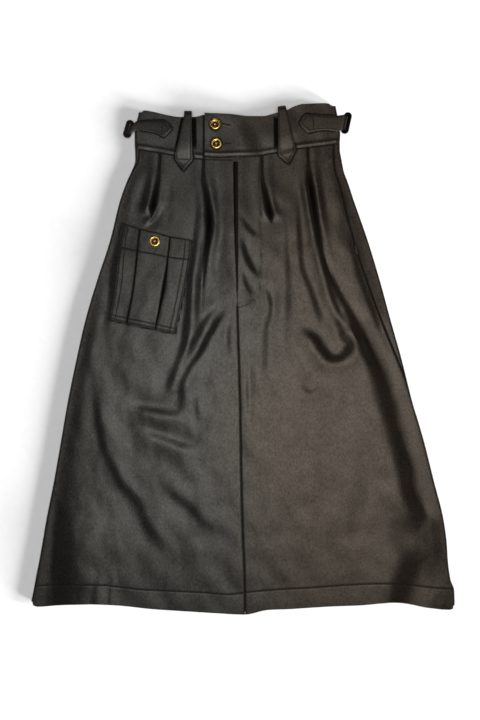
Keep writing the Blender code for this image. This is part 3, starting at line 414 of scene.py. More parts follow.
def along_path(x, y, path):
    """Distance of each point from a path, positive to the left of travel, and its share of the length."""
    way = spline(path)
    start, step = way[:-1], np.diff(way, axis=0)
    length = np.hypot(step[:, 0], step[:, 1])
    reached = np.concatenate(([0.0], np.cumsum(length)))
    dx, dy = x[..., None] - start[:, 0], y[..., None] - start[:, 1]
    t = np.clip((dx * step[:, 0] + dy * step[:, 1]) / length**2, 0, 1)
    away = np.hypot(dx - t * step[:, 0], dy - t * step[:, 1])
    side = np.sign(step[:, 0] * dy - step[:, 1] * dx)
    nearest = away.argmin(axis=-1)[..., None]
    distance = np.take_along_axis(away * side, nearest, -1)[..., 0]
    share = np.take_along_axis(reached[:-1] + t * length, nearest, -1)[..., 0] / reached[-1]
    return distance, share


def fade(share, start, end):
    """1 along a fold, falling to 0 over these shares of its length at its two ends."""
    rise = ease(share / start) if start else 1.0
    fall = ease((1 - share) / end) if end else 1.0
    return rise * fall


def crease_rise(x, y):
    total = np.zeros_like(x)
    for tilt, narrow, wide, start, end, path in CREASES:
        near = near_path(x, y, path, CREASE_REACH * max(narrow, wide))
        if near.any():
            distance, share = along_path(x[near], y[near], path)
            width = narrow + (wide - narrow) * share
            band = width * np.tanh(distance / width) * bell(distance, RECOVERY * width)
            total[near] -= tilt * band * fade(share, start, end)
    return total


def unevenness(x, y):
    """The slight waviness of cloth that was hung before it was laid down."""
    total = np.zeros_like(x)
    for rise, length, way, phase in WAVES:
        turn = math.radians(way)
        across = x * math.cos(turn) + y * math.sin(turn)
        along_it = y * math.cos(turn) - x * math.sin(turn)
        wander = WAVE_WANDER * np.sin(along_it / length * WAVE_WANDER_RATE + phase)
        total += rise * np.sin(2 * math.pi * across / length + wander + phase)
    return total * ease((WAVE_TOP - y) / WAVE_FADE)


def crown(x, y):
    top, full = CROWN_TOP
    return CROWN * ease((top - y) / (top - full)) * ease(from_edges(x, y) / CROWN_SIDE)


def pleat_slit(x, y, pleat):
    """Distance from a pleat's line, how far it is open, from 0 to 1, and the half width of its slit."""
    (guides, index), opens, widest, closes, width = pleat[:5]
    start = opens + PLEAT_START
    opening = np.clip((start - y) / (start - widest), 0, 1) * ease((y - closes) / (widest - closes))
    return x - look_up(guides, y, index), opening, PLEAT_SEWN_HALF + (width / 2 - PLEAT_SEWN_HALF) * opening


def pleat_rise(x, y):
    """The slit of each pleat and the two lips beside it."""
    total = np.zeros_like(x)
    for pleat in PLEATS:
        away, opening, half = pleat_slit(x, y, pleat)
        _, opens, widest, _, _, depth, left_lip, right_lip = pleat
        sewn = PLEAT_STITCHED * ease((y - widest) / (opens - widest))
        total -= depth * np.maximum(opening, sewn) * bell(away, half)
        lips = LIP_SEWN * ease((y - widest) / LIP_FADE) + opening
        total += left_lip * lips * bell(away + LIP_OFFSET, LIP_WIDTH)
        total += right_lip * lips * bell(away - LIP_OFFSET, LIP_WIDTH)
    return total


def fly_rise(x, y):
    """The fronts stand higher over the underlap, most at the fly's edges."""
    start, end = FLY_FADE
    coming_in = ease((y - FLY_FOOT - start) / (end - start))
    return FLY_RISE * coming_in * ease(1 - abs(x - centre_line(y)) / FLY_REACH)


def least_rise(x, y):
    """The lowest that the outer face may lie, over the back or over the fly's underlap."""
    beside = (x > UNDERLAP[0] - UNDERLAP_MARGIN) * (x < UNDERLAP[1] + UNDERLAP_MARGIN)
    above_foot = ease((y - FLY_FOOT + 2 * UNDERLAP_MARGIN) / UNDERLAP_MARGIN)
    return LOWEST + (LOWEST_OVER_UNDERLAP - LOWEST) * beside * above_foot


def front_rise(x, y):
    """Height of the front's outer face over the surface it lies on."""
    free = LOFT + crown(x, y) + unevenness(x, y) + crease_rise(x, y) + pleat_rise(x, y) + fly_rise(x, y)
    least = least_rise(x, y)
    over = free - least
    rounded = LOWEST_ROUNDING * np.exp(np.minimum(over - LOWEST_ROUNDING, 0) / LOWEST_ROUNDING)
    free = least + np.where(over > LOWEST_ROUNDING, over, rounded)
    inside = from_edges(x, y) - PANEL_EDGE / 2
    return PANEL_EDGE + (free - PANEL_EDGE) * ease(inside / EDGE_BLEND)


def wall_under(x, y, rise, thickness):
    """Height of the inner face, so that the wall keeps its thickness on a slope."""
    slope_x, slope_y = slopes(rise, x, y)
    return rise(x, y) - thickness * np.sqrt(1 + np.minimum(slope_x**2 + slope_y**2, STEEPEST))


def top_points(x, y, rise, thickness):
    """Outer and inner points of a wall that lies face up."""
    outer = np.stack((x, y, rise(x, y)), axis=-1)
    inner = np.stack((x, y, wall_under(x, y, rise, thickness)), axis=-1)
    return outer, inner


def edge_points(edge, side, y, place, rise, height, thickness):
    """Outer and inner points round a side fold edge. place runs round the outer face in millimetres, from 0
    at the edge's middle, up over the top where it is positive and under the skirt where it is negative."""
    radius = height / 2
    quarter = radius * math.pi / 2
    angle = np.clip(place / radius, -math.pi / 2, math.pi / 2)
    inward = np.maximum(abs(place) - quarter, 0)
    centre = edge - side * radius
    faces = []
    for depth in (0.0, thickness):
        x = centre + side * ((radius - depth) * np.cos(angle) - inward)
        z = radius + (radius - depth) * np.sin(angle)
        if depth:
            over = wall_under(x, y, rise, thickness)
        else:
            over = rise(x, y)
        z = np.where(place > quarter, over, z)
        faces.append(np.stack((x, y, z), axis=-1))
    return faces



# Sewn lines: y or x, then the place across it
HEM_STITCH = (  # x, y
    (-342, -375), (-244, -373), (-166, -381), (-66, -386), (-26, -389), (0, -386.5), (31, -383),
    (110, -378), (233, -371), (327, -379), (347, -380),
)
FLY_STITCH = ((30, 333), (26.5, 288), (29.7, 174), (26.5, 108), (20, 98), (-10, 92))
CENTRE_STITCH_AWAY = 5.5
GROOVE = 0.3
GROOVE_WIDTH = 1.5
SEAM_DEPTH = 0.4
SEAM_WIDTH = 1.3
# Widths and strengths of the painted shade along the sewn lines
MARK_WIDTH = 1.1
CENTRE_MARK = 0.6
LINE_WIDTH = 0.9  # of the painted shade line under a row of stitches or round a buttonhole
FLY_MARK = 0.25


def groove(distance):
    return -GROOVE * bell(distance, GROOVE_WIDTH)


def below_fly(y):
    return ease((FLY_FOOT + 4 - y) / 8)


def sewn_rise(x, y):
    """The pressed lines of the hem, the fly's stitching and the centre seam."""
    total = groove(y - look_up(HEM_STITCH, x, 1))
    away, share = along_path(x, y, FLY_STITCH)
    total += groove(away) * (share > 0) * (share < 1)
    from_seam = x - centre_line(y)
    total -= SEAM_DEPTH * below_fly(y) * bell(from_seam, SEAM_WIDTH)
    return total + groove(from_seam - CENTRE_STITCH_AWAY) * below_fly(y)


def painted_seam_shade(x, y, waist):
    """Painted shade along the sewn lines, the hem's, the centre seam and the fly's, and painted shadow
    under the waistband's lower edge.
    """
    dark = 0.6 * bell(y - look_up(HEM_STITCH, x, 1), MARK_WIDTH)
    dark = np.maximum(dark, 0.7 * below_fly(y) * bell(x - centre_line(y), CENTRE_MARK))
    away, share = along_path(x, y, FLY_STITCH)
    dark = np.maximum(dark, FLY_MARK * bell(away, LINE_WIDTH) * (share > 0) * (share < 1))
    under_tab = ease((x - TAB_END) / 2) * (x < 0)
    return np.maximum(dark, (0.85 - 0.6 * under_tab) * ease((y - look_up(waist, x, 1) + 1.9) / 1.5))


def painted_slit_shade(x, y):
    """Painted shade in each pleat's slit, from 0 on the face to 1 at the bottom of the slit."""
    deep = np.zeros_like(x)
    for pleat in PLEATS:
        away, opening, half = pleat_slit(x, y, pleat)
        shade = np.maximum(opening**0.5, SLIT_SEWN) * (y > pleat[3])
        deep = np.maximum(deep, shade * bell(away, half * (1 + 0.25 * opening), SLIT_EDGE))
    return deep


def dressed_rise(x, y):
    """Height of the front's outer face with its fine folds and sewn lines."""
    inside = from_edges(x, y) - PANEL_EDGE / 2
    return front_rise(x, y) + sewn_rise(x, y) * ease(inside / FINE_BLEND)


def beside(x, y, path, width, dark=0.85):
    """Painted shadow along an outline that lies on the cloth."""
    mark = np.zeros_like(x)
    near = near_path(x, y, path, 4 * width)
    if near.any():
        away, _ = along_path(x[near], y[near], path)
        mark[near] = dark * bell(away, width)
    return mark


BUTTONHOLES = (((-35.5, 388.2), (-21, 385.2)), ((-33.5, 353.5), (-19.5, 355.5)))
LOOP_GAP_FOOT = 340.0  # the painted shadows beside the loops lie between these heights
LOOP_GAP_TOP = 402.0
TAB_SHADE = 5.0  # width of the painted shadow along the tab's end


def loop_outline(rows):
    left = [(row[1], row[2]) for row in rows[5:]]
    right = [(row[3], row[4]) for row in rows[5:]]
    return left, right


def loop_shadows(x, y):
    """Painted shadows in the gaps beside the belt loops, and along their outlines on what they lie on."""
    dark = np.zeros_like(x)
    for rows, gap_left, gap_right in ((RIGHT_LOOP, 5.0, 8.5), (LEFT_LOOP, 8.5, 1.5)):
        left, right = loop_outline(rows)
        at_left = look_up([(b, a) for a, b in left[:5]], y, 1)
        at_right = look_up([(b, a) for a, b in right[:5]], y, 1)
        within = ease((y - LOOP_GAP_FOOT) / 14) * ease((LOOP_GAP_TOP - y) / 6)
        gap = ease((x - at_left + gap_left) / 2.5) * ease((at_right + gap_right - x) / 2.5)
        dark = np.maximum(dark, 0.92 * gap * within)
        for side in (left, right):
            dark = np.maximum(dark, beside(x, y, side[3:], 2.2, 0.95))
    return dark


# Painted shadow in a ring round a button
def round_shadow(x, y, centre, radius, width=1.5):
    return 0.85 * bell(np.hypot(x - centre[0], y - centre[1]) - radius, width)


def band_shadows(x, y, waist):
    """Painted shade and shadow of a waistband: along its lower seam, beside the loops, straps and buttons,
    round the buttonholes, and along and under the tab.
    """
    dark = 0.9 * ease((look_up(waist, x, 1) + 1.6 - y) / 1.4)
    dark = np.maximum(dark, loop_shadows(x, y))
    for rows in (RIGHT_STRAP, LEFT_STRAP):
        for side in ([(row[0], row[1]) for row in rows[:-1]], [(row[2], row[3]) for row in rows[:-1]]):
            dark = np.maximum(dark, beside(x, y, side, 1.9, 0.9))
    for _, bx, by in BUTTON_PLACES[:2]:
        dark = np.maximum(dark, round_shadow(x, y, (bx, by), 9.4))
    if waist is LEFT_WAIST:
        for hole in BUTTONHOLES:
            dark = np.maximum(dark, beside(x, y, hole, LINE_WIDTH, 0.95))
    else:
        past = ease((x - TAB_END + 1) / 2)
        covered = ease((y - look_up(LEFT_WAIST, x, 1) + 1.4) / 1.0)
        dark = np.maximum(dark, 0.92 * ease((x - TAB_END + TAB_SHADE) / TAB_SHADE))
        dark = dark * (1 - past) + past * np.maximum(0.92 * covered, 0.35 * dark)
    return dark


def pocket_outline_shadow(x, y):
    # Painted shadow round the pocket, on the front it lies on
    dark = np.zeros_like(x)
    for curve in (POCKET_TOP, POCKET_FOOT, POCKET_LEFT, POCKET_RIGHT):
        dark = np.maximum(dark, beside(x, y, curve, 1.4, 0.85))
    return dark


# Finer rows and columns than the solids have
ROW_PARTS = (0.0, 0.02, 0.26, 0.94, 1.0)  # shares of a panel's length
ROW_COUNTS = (8, 84, 170, 44)
ROLL_PARTS = (-12.7, -6.0, -4.7, 4.7, 12.0, 38.0)
ROLL_COUNTS = (3, 2, 10, 5, 9)
RIGHT_FINE = (30, 6, 6, 30, 6, 6, 20)
LEFT_FINE = (26, 6, 6, 26, 6, 6, 22)
FINE_BLEND = 10.0
SLIT_SEWN = 0.5  # painted shade of a slit in its sewn length
SLIT_EDGE = 6  # the higher, the crisper the edge of the slit's painted shade


def spread(marks, counts):
    """Marks with this many equal steps between each two."""
    parts = [np.linspace(a, b, n, endpoint=False) for a, b, n in zip(marks, marks[1:], counts)]
    return np.concatenate((*parts, [marks[-1]]))


SHARES = spread(ROW_PARTS, ROW_COUNTS)


def side_of(side):
    """The waist seam, the outline's column and the end of the tables on one side of the skirt."""
    return (RIGHT_WAIST, 1, 0) if side < 0 else (LEFT_WAIST, 2, -1)


def panel_rows(waist, top_at, foot_at):
    top = look_up(waist, top_at, 1) - SEAM_GAP
    foot = look_up(HEM, foot_at, 1)
    return top + (foot - top) * SHARES


SEAM_GAP = 0.15


def edge_column(side, place_from_seam):
    """Outer and inner points of one column near a side fold edge. The place round the edge is worked out
    from the side seam's place."""
    waist, index, end = side_of(side)
    radius = PANEL_EDGE / 2
    flat = radius - radius * math.pi / 2

    def plan_x(edge_x, y):
        place = place_from_seam(look_up(SIDE_SEAM, y, index))
        return edge_x - side * (place + flat if place + flat > radius else 0)

    top_at = plan_x(waist[end][0], waist[end][1])
    foot_at = plan_x(HEM[end][0], HEM[end][1])
    y = panel_rows(waist, top_at, foot_at)
    edge = look_up(OUTLINE, y, index)
    place = place_from_seam(look_up(SIDE_SEAM, y, index))
    return edge_points(edge, side, y, place, dressed_rise, PANEL_EDGE, CLOTH)


def front_panel(side):
    """Outer and inner grids of one front, from the side seam to the centre."""
    right = side < 0
    waist, index, _ = side_of(side)
    guides = RIGHT_GUIDES if right else LEFT_GUIDES
    steps = RIGHT_FINE if right else LEFT_FINE
    outer_guide, inner_guide = (1, 2) if right else (2, 1)
    stations = spread(ROLL_PARTS, ROLL_COUNTS)
    first, last = stations[0], stations[-1]
    columns = []
    for share in (stations - first) / (last - first):
        start = SEAM_GAP / 2
        columns.append(edge_column(side, lambda seam: seam + start + (last - seam - start) * share))

    def anchors(y):
        radius = PANEL_EDGE / 2
        reach = side * PLEAT_COLUMN
        outer_line = look_up(guides, y, outer_guide)
        inner_line = look_up(guides, y, inner_guide)
        return np.stack(
            (
                look_up(OUTLINE, y, index) - side * (radius + last - radius * math.pi / 2),
                outer_line + reach,
                outer_line,
                outer_line - reach,
                inner_line + reach,
                inner_line,
                inner_line - reach,
                look_up(FLY, y, 1 if right else 2),
            )
        )

    top_line = anchors(look_up(waist, 0.0, 1))
    foot_line = anchors(look_up(HEM, 0.0, 1))
    for span, count in enumerate(steps):
        for share in np.arange(1, count + 1) / count:
            top_at = top_line[span] + (top_line[span + 1] - top_line[span]) * share
            foot_at = foot_line[span] + (foot_line[span + 1] - foot_line[span]) * share
            y = panel_rows(waist, top_at, foot_at)
            lines = anchors(y)
            x = lines[span] + (lines[span + 1] - lines[span]) * share
            columns.append(top_points(x, y, dressed_rise, CLOTH))
    return tuple(np.stack(face, axis=1) for face in zip(*columns))


PLEAT_COLUMN = 6.0
BACK_PARTS = (0.0, 0.5, 0.78, 1.0)
BACK_COUNTS = (16, 12, 4)
BACK_FLAT = -14.0
BACK_COLUMNS = 60
BACK_STRAIGHT = 0.7


BACK_CREASES = (  # rise, width, fades, path: soft troughs pressed up into the underside
    (0.5, 7, 0.3, 0.4, ((-120, 320), (-131, 225), (-160, 120), (-178, 30))),
    (0.4, 6, 0.4, 0.4, ((-62, 318), (-55, 210), (-48, 140))),
    (0.5, 8, 0.3, 0.5, ((70, 322), (82, 215), (110, 90), (148, -30))),
    (0.35, 6, 0.4, 0.4, ((20, 300), (14, 190), (22, 95))),
    (0.5, 12, 0.4, 0.4, ((-205, -60), (-150, -150), (-120, -245), (-70, -320))),
    (0.45, 10, 0.4, 0.4, ((60, -70), (95, -160), (160, -215), (215, -300))),
)


def back_lift(x, y):
    total = np.zeros_like(x)
    for rise, width, start, end, path in BACK_CREASES:
        away, share = along_path(x, y, path)
        total = np.maximum(total, rise * bell(away, width) * fade(share, start, end))
    return total


def back_panel():
    """Outer and inner grids of the back: round the right fold edge from its seam, flat, round the left."""
    halves = []
    for side in (1, -1):
        half = []
        for share in spread(BACK_PARTS, BACK_COUNTS):
            start = -SEAM_GAP / 2
            half.append(edge_column(side, lambda seam: seam + start + (BACK_FLAT - seam - start) * share))
        halves.append(half)
    near, far = halves[0][-1], halves[1][-1]
    lowering = ease((SHARES - BACK_STRAIGHT) / (1 - BACK_STRAIGHT))
    flat = []
    for share in np.arange(1, BACK_COLUMNS + 1) / (BACK_COLUMNS + 1):
        faces = []
        for a, b in zip(near, far):
            points = a + (b - a) * share
            foot = look_up(HEM, points[-1, 0], 1) + BACK_HEM_INSET
            points[:, 1] += (foot - points[-1, 1]) * lowering
            points[:, 2] += back_lift(points[:, 0], points[:, 1])
            faces.append(points)
        flat.append(tuple(faces))
    columns = (*halves[0], *flat, *halves[1][::-1])
    return tuple(np.stack(face, axis=1) for face in zip(*columns))


def seam_roll(x, y, waist):
    return SEAM_ROLL * bell(y - look_up(waist, x, 1) - SEAM_ROLL_OVER, SEAM_ROLL_WIDTH)


BAND_PARTS = (0.0, 0.04, 0.8, 1.0)
BAND_ROW_COUNTS = (3, 44, 14)
BAND_SHARES = spread(BAND_PARTS, BAND_ROW_COUNTS)


def band_wave(x, y):
    """Soft unevenness of the waistband's face."""
    return (
        0.35 * np.sin(x / 17.0 + 1.3 * np.sin(y / 23.0))
        + 0.25 * np.sin(x / 7.3 + y / 11.0)
        + 0.2 * np.sin(y / 9.0 - x / 31.0)
    )


def right_band_rise(x, y):
    return BAND_EDGE + seam_roll(x, y, RIGHT_WAIST) + band_wave(x, y) * band_inside(x)


def left_band_rise(x, y):
    """The left waistband climbs over the right one's end, and its tab lies on it."""
    lift = 1 - ease((x - TAB_SLOPE[0]) / (TAB_SLOPE[1] - TAB_SLOPE[0]))
    return BAND_EDGE + TAB_LIFT * lift + seam_roll(x, y, LEFT_WAIST) + band_wave(x, y) * band_inside(x)


def band_inside(x):
    return ease((x + 170) / 20) * ease((150 - x) / 20)


def front_band(side, rise, top, waist, x_end, steps):
    """Outer and inner grids of one front waistband, from under its fold edge to its free end."""
    index = 1 if side < 0 else 2
    start = BAND_SIDES[-1][index]
    outer_columns, inner_columns = [], []

    def row_y(at):
        high = look_up(top, at, 1)
        return high + (look_up(waist, at, 1) - high) * BAND_SHARES

    y_edge = row_y(start)
    radius = BAND_EDGE / 2
    quarter = radius * math.pi / 2
    places = spread((BAND_UNDER, -quarter, quarter, quarter + BAND_ROLL_END), (3, 12, 3))
    for place in places:
        at = start - side * max(radius + place - quarter, 0)
        y = row_y(at) if place > quarter else y_edge
        side_x = look_up(BAND_SIDES, y, index)
        outer, inner = edge_points(side_x, side, y, np.full(len(y), place), rise, BAND_EDGE, BAND_CLOTH)
        outer_columns.append(outer)
        inner_columns.append(inner)
    inside = radius + BAND_ROLL_END
    for part in range(1, steps + 1):
        share = part / steps
        at = start - side * inside + (x_end - start + side * inside) * share
        y = row_y(at)
        near = look_up(BAND_SIDES, y, index) - side * inside
        x = near + (x_end - near) * share
        outer, inner = top_points(x, y, rise, BAND_CLOTH)
        outer_columns.append(outer)
        inner_columns.append(inner)
    return np.stack(outer_columns, axis=1), np.stack(inner_columns, axis=1)


def back_band():
    """The flat back waistband between the ends of the front ones."""
    inset = BAND_EDGE / 2 - BAND_UNDER - BAND_EDGE * math.pi / 4 + GAP
    left, right = BAND_SIDES[-1][1] + inset, BAND_SIDES[-1][2] - inset
    shares = np.linspace(0, 1, 9)
    outer_columns, inner_columns = [], []
    for share in np.linspace(0, 1, 41):
        x_at = left + (right - left) * share
        on_right = x_at < RIGHT_BAND_END
        high = look_up(RIGHT_BAND_TOP if on_right else LEFT_BAND_TOP, x_at, 1) - BACK_BAND_INSET
        high = np.minimum(high, BACK_BAND_RIGHT_TOP) if on_right else high
        low = RIGHT_WAIST[0][1] + (LEFT_WAIST[-1][1] - RIGHT_WAIST[0][1]) * share
        y = high + (low - high) * shares
        near = look_up(BAND_SIDES, y, 1) + inset
        far = look_up(BAND_SIDES, y, 2) - inset
        x = near + (far - near) * share
        outer_columns.append(np.stack((x, y, np.zeros_like(y)), axis=-1))
        inner_columns.append(np.stack((x, y, np.full_like(y, BAND_CLOTH)), axis=-1))
    return np.stack(outer_columns, axis=1), np.stack(inner_columns, axis=1)


def underlap():
    """The strip under the fly's edges."""
    y = np.linspace(UNDERLAP_TOP, FLY_FOOT, 80)
    low = CLOTH + GAP
    outer_columns, inner_columns = [], []
    for x_at in np.linspace(*UNDERLAP, 16):
        x = np.full(len(y), x_at)
        outer_columns.append(np.stack((x, y, np.full(len(y), low + CLOTH)), axis=-1))
        inner_columns.append(np.stack((x, y, np.full(len(y), low)), axis=-1))
    return np.stack(outer_columns, axis=1), np.stack(inner_columns, axis=1)


def patch(top, foot, left, right, across, down):
    """Points of a four-sided patch between curved sides. across and down are shares, as arrays."""
    def on(curve, share):
        way = spline(curve)
        length = np.concatenate(([0.0], np.cumsum(np.hypot(*np.diff(way, axis=0).T))))
        at = share * length[-1]
        return np.stack((np.interp(at, length, way[:, 0]), np.interp(at, length, way[:, 1])), axis=-1)

    u, v = np.meshgrid(across, down)
    u, v = u[..., None], v[..., None]
    top_left, top_right, foot_left, foot_right = (
        np.array(p, float) for p in (top[0], top[-1], foot[0], foot[-1])
    )
    between_rows = (1 - v) * on(top, u[..., 0]) + v * on(foot, u[..., 0])
    between_columns = (1 - u) * on(left, v[..., 0]) + u * on(right, v[..., 0])
    upper = (1 - u) * top_left + u * top_right
    lower = (1 - u) * foot_left + u * foot_right
    return between_rows + between_columns - (1 - v) * upper - v * lower


POCKET_FINE = (145, 121)  # columns, rows
POCKET_WIDTH, POCKET_LENGTH = 112.0, 155.0  # in round numbers, for the widths of its lines
POCKET_CLEAR = 0.5
POCKET_SEWN = (0.02, 0.085)  # two rows of stitches, as shares of the width in from each side
POCKET_FOOT_SEWN = (0.985, 0.945)  # and of the length, at the foot
POCKET_BAND = (0.24, 0.20)  # the row under the top band, at its left and right end
POCKET_OPEN = (  # share of the length, half width of the wide pleat's mouth
    (0.0, 0.35), (0.12, 1.1), (0.2, 0.45), (0.32, 1.7), (0.55, 3.3), (0.72, 2.5), (0.9, 1.4), (1.0, 0.6),
)


def pocket_gape(v):
    """Half width of the wide pleat's mouth."""
    return smooth(v.ravel(), column(POCKET_OPEN, 0), column(POCKET_OPEN, 1)).reshape(v.shape)


def pocket_shade(u, v):
    """Painted shade in the pocket's two pleats and along its sewn lines. The wide pleat gapes between the
    rows.
    """
    first, second = POCKET_PLEATS
    dark = 0.95 * bell((u - first) * POCKET_WIDTH, LINE_WIDTH)
    dark = np.maximum(dark, 0.93 * bell((u - second) * POCKET_WIDTH, pocket_gape(v), 4))
    band = POCKET_BAND[0] + (POCKET_BAND[1] - POCKET_BAND[0]) * u
    dark = np.maximum(dark, 0.75 * bell((v - band) * POCKET_LENGTH, LINE_WIDTH))
    for share in POCKET_SEWN:
        for side in (u, 1 - u):
            dark = np.maximum(dark, 0.5 * bell((side - share) * POCKET_WIDTH, 0.8))
    for share in POCKET_FOOT_SEWN:
        dark = np.maximum(dark, 0.6 * bell((v - share) * POCKET_LENGTH, 0.8))
    return dark


def pocket_face(across, down):
    """The pocket's face over the front, with its two pleats, its band and its pressed stitch lines."""
    plan = patch(POCKET_TOP, POCKET_FOOT, POCKET_LEFT, POCKET_RIGHT, across, down)
    x, y = plan[..., 0], plan[..., 1]
    u, v = np.meshgrid(across, down)
    first, second = POCKET_PLEATS
    step = POCKET_PLEAT_STEP
    raised = POCKET_PLEAT_RISE * ease((u - first) / step + 0.5) * ease((second - u) / step + 0.5)
    raised -= 0.7 * bell((u - second) * POCKET_WIDTH, pocket_gape(v) + 1.0)
    raised += 0.5 * bell(u - 0.5, 0.09) * ease((v - 0.3) / 0.3)
    raised -= 0.35 * pocket_shade(u, v) * (abs(u - second) > 0.04)
    return x, y, front_rise(x, y) + POCKET_CLEAR + np.maximum(raised, -0.3)


def wool_face_normal(grid):
    """Unit normals of a grid of points."""
    across = np.gradient(grid, axis=1)
    along = np.gradient(grid, axis=0)
    normal = np.cross(across, along)
    return normal / np.linalg.norm(normal, axis=-1)[..., None]


def pocket():
    across = np.linspace(0, 1, POCKET_FINE[0])
    down = np.linspace(0, 1, POCKET_FINE[1])
    x, y, low = pocket_face(across, down)
    outer = np.stack((x, y, low + CLOTH), axis=-1)
    inner = np.stack((x, y, low), axis=-1)
    return outer, inner


def finer(table, rows_between):
    """A table of rows, with more rows on smooth curves between them."""
    table = np.array(table, float)
    knots = np.arange(len(table), dtype=float)
    at = np.linspace(0, len(table) - 1, (len(table) - 1) * rows_between + 1)
    return np.stack([smooth(at, knots, table[:, i]) for i in range(table.shape[1])], axis=1)


STRIP_COLUMNS = 31
STRIP_ROWS = 14  # to each row of the tables


def strip(left, right, thickness, crown=0.35):
    """Upper and lower grids of a strip, from the two sides of its middle plane, fuller in its middle."""
    middle = (left + right) / 2
    along = np.gradient(middle, axis=0)
    across = right - left
    across = across / np.linalg.norm(across, axis=1)[:, None]
    normal = np.cross(across, along)
    normal = normal / np.linalg.norm(normal, axis=1)[:, None]
    normal = normal * np.sign(normal[len(normal) // 2, 2])
    shares = np.linspace(0, 1, STRIP_COLUMNS)
    grid = left[:, None, :] + (right - left)[:, None, :] * shares[:, None]
    full = 1 - crown * (2 * shares - 1) ** 4
    offset = normal[:, None, :] * thickness / 2 * full[None, :, None]
    return grid + offset, grid - offset


def belt_loop(rows):
    table = np.array(rows, float)
    for row in range(len(rows) - LOOP_SEWN, len(rows)):
        x = table[row, [1, 3]]
        y = table[row, [2, 4]]
        table[row, 0] = front_rise(x, y).max() + POCKET_LIFT + STRAP_CLOTH / 2
    table = finer(table, STRIP_ROWS)
    left = np.stack((table[:, 1], table[:, 2], table[:, 0]), axis=1)
    right = np.stack((table[:, 3], table[:, 4], table[:, 0]), axis=1)
    return strip(left, right, STRAP_CLOTH)


def buckle_bar(buckle):
    """Place of the bar that the strap turns round: its middle, and the direction along it."""
    side, x, y, z, _, width, tilt, turn = buckle
    out = np.array((math.cos(math.radians(turn)), math.sin(math.radians(turn)), 0.0))
    up = np.array((-out[1], out[0], 0.0))
    lean = side * out * math.cos(math.radians(tilt)) + np.array((0, 0, math.sin(math.radians(tilt))))
    reach = width / 2 - BUCKLE_WIRE
    return np.array((x, y, z)) - lean * reach, up


def adjuster(rows, buckle):
    """Grids of a strap: flat on the band, then round its buckle's bar and back towards the band's edge."""
    side = buckle[0]
    table = finer(rows, STRIP_ROWS)
    lie = BAND_EDGE + GAP + STRAP_CLOTH / 2 + 0.3
    upper = [np.array((row[0], row[1], lie)) for row in table]
    lower = [np.array((row[2], row[3], lie)) for row in table]
    bar, up = buckle_bar(buckle)
    half = (table[-1, 1] - table[-1, 3]) / 2
    for angle in np.linspace(TURN_ANGLES[0], TURN_ANGLES[-1], 13):
        turn = math.radians(angle)
        middle = bar + np.array((side * TURN_BACK * math.cos(turn), 0.0, TURN_BACK * math.sin(turn)))
        if angle == TURN_ANGLES[0]:
            middle[2] = max(middle[2], lie)
        upper.append(middle + up * half)
        lower.append(middle - up * half)
    return strip(np.array(lower), np.array(upper), STRAP_CLOTH)


# Meshes
def grid_faces(rows, columns):
    """Quads of a closed wall between two grids."""
    count = rows * columns
    outside = np.arange(count).reshape(rows, columns)
    inside = outside + count

    def quads(grid):
        corners = (grid[:-1, :-1], grid[1:, :-1], grid[1:, 1:], grid[:-1, 1:])
        return np.stack(corners, axis=-1).reshape(-1, 4)

    def rim(a, b):
        return np.stack((a[:-1], b[:-1], b[1:], a[1:]), axis=-1)

    return np.vstack(
        (
            quads(outside),
            quads(inside)[:, ::-1],
            rim(outside[0], inside[0])[:, ::-1],
            rim(outside[-1], inside[-1]),
            rim(outside[:, 0], inside[:, 0]),
            rim(outside[:, -1], inside[:, -1])[:, ::-1],
        )
    )


def outward(points, faces):
    """The faces of a closed body of quads, turned over if they look inwards."""
    a, b, c, d = (points[faces[:, i]] for i in range(4))
    volume = (a * (np.cross(b, c) + np.cross(c, d))).sum()
    return faces if volume > 0 else faces[:, ::-1]


def mesh_from(name, points, faces):
    """A mesh in metres from points in millimetres and faces with equal numbers of corners."""
    faces = outward(points, faces)
    mesh = bpy.data.meshes.new(name)
    corners = faces.shape[1]
    mesh.vertices.add(len(points))
    mesh.vertices.foreach_set("co", (points * MM).astype(np.float32).ravel())
    mesh.loops.add(faces.size)
    mesh.loops.foreach_set("vertex_index", faces.astype(np.int32).ravel())
    mesh.polygons.add(len(faces))
    mesh.polygons.foreach_set("loop_start", np.arange(0, faces.size, corners, dtype=np.int32))
    mesh.polygons.foreach_set("loop_total", np.full(len(faces), corners, dtype=np.int32))
    mesh.update()
    mesh.validate()
    mesh.shade_smooth()
    return mesh


def place(name, mesh, material, slot, nodes=()):
    mesh.materials.append(material)
    thing = bpy.data.objects.new(name, mesh)
    bpy.context.scene.collection.objects.link(thing)
    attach(thing, "root")
    if nodes:
        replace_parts(thing, *nodes)
    return thing


def cloth(name, grids, node, material, bevel=0.7, deep=None):
    """A cloth wall with rounded edges that stands for a CAD node."""
    outer, inner = grids
    rows, columns = outer.shape[:2]
    points = np.vstack((outer.reshape(-1, 3), inner.reshape(-1, 3)))
    mesh = mesh_from(name, points, grid_faces(rows, columns))
    # Painted shade on the outer face, kept in a point attribute that the wool reads
    shade = np.zeros(rows * columns * 2, np.float32)
    if deep is not None:
        shade[: rows * columns] = deep.ravel()
    mesh.attributes.new("deep", "FLOAT", "POINT").data.foreach_set("value", shade)
    thing = place(name, mesh, material, "wool_twill", (node,))
    rounded = thing.modifiers.new("rounded edges", "BEVEL")
    rounded.width = bevel * MM
    rounded.segments = 3
    rounded.limit_method = "ANGLE"
    rounded.angle_limit = math.radians(55)
    rounded.harden_normals = False
    return thing


# Sewing
THREAD = 0.42  # radius
STITCH = 2.5
STITCH_PITCH = 3.3
THREAD_SIDES = 4
THREAD_RINGS = ((-0.5, 0.15), (-0.36, 0.85), (0.0, 1.0), (0.36, 0.85), (0.5, 0.15))  # place, thickness


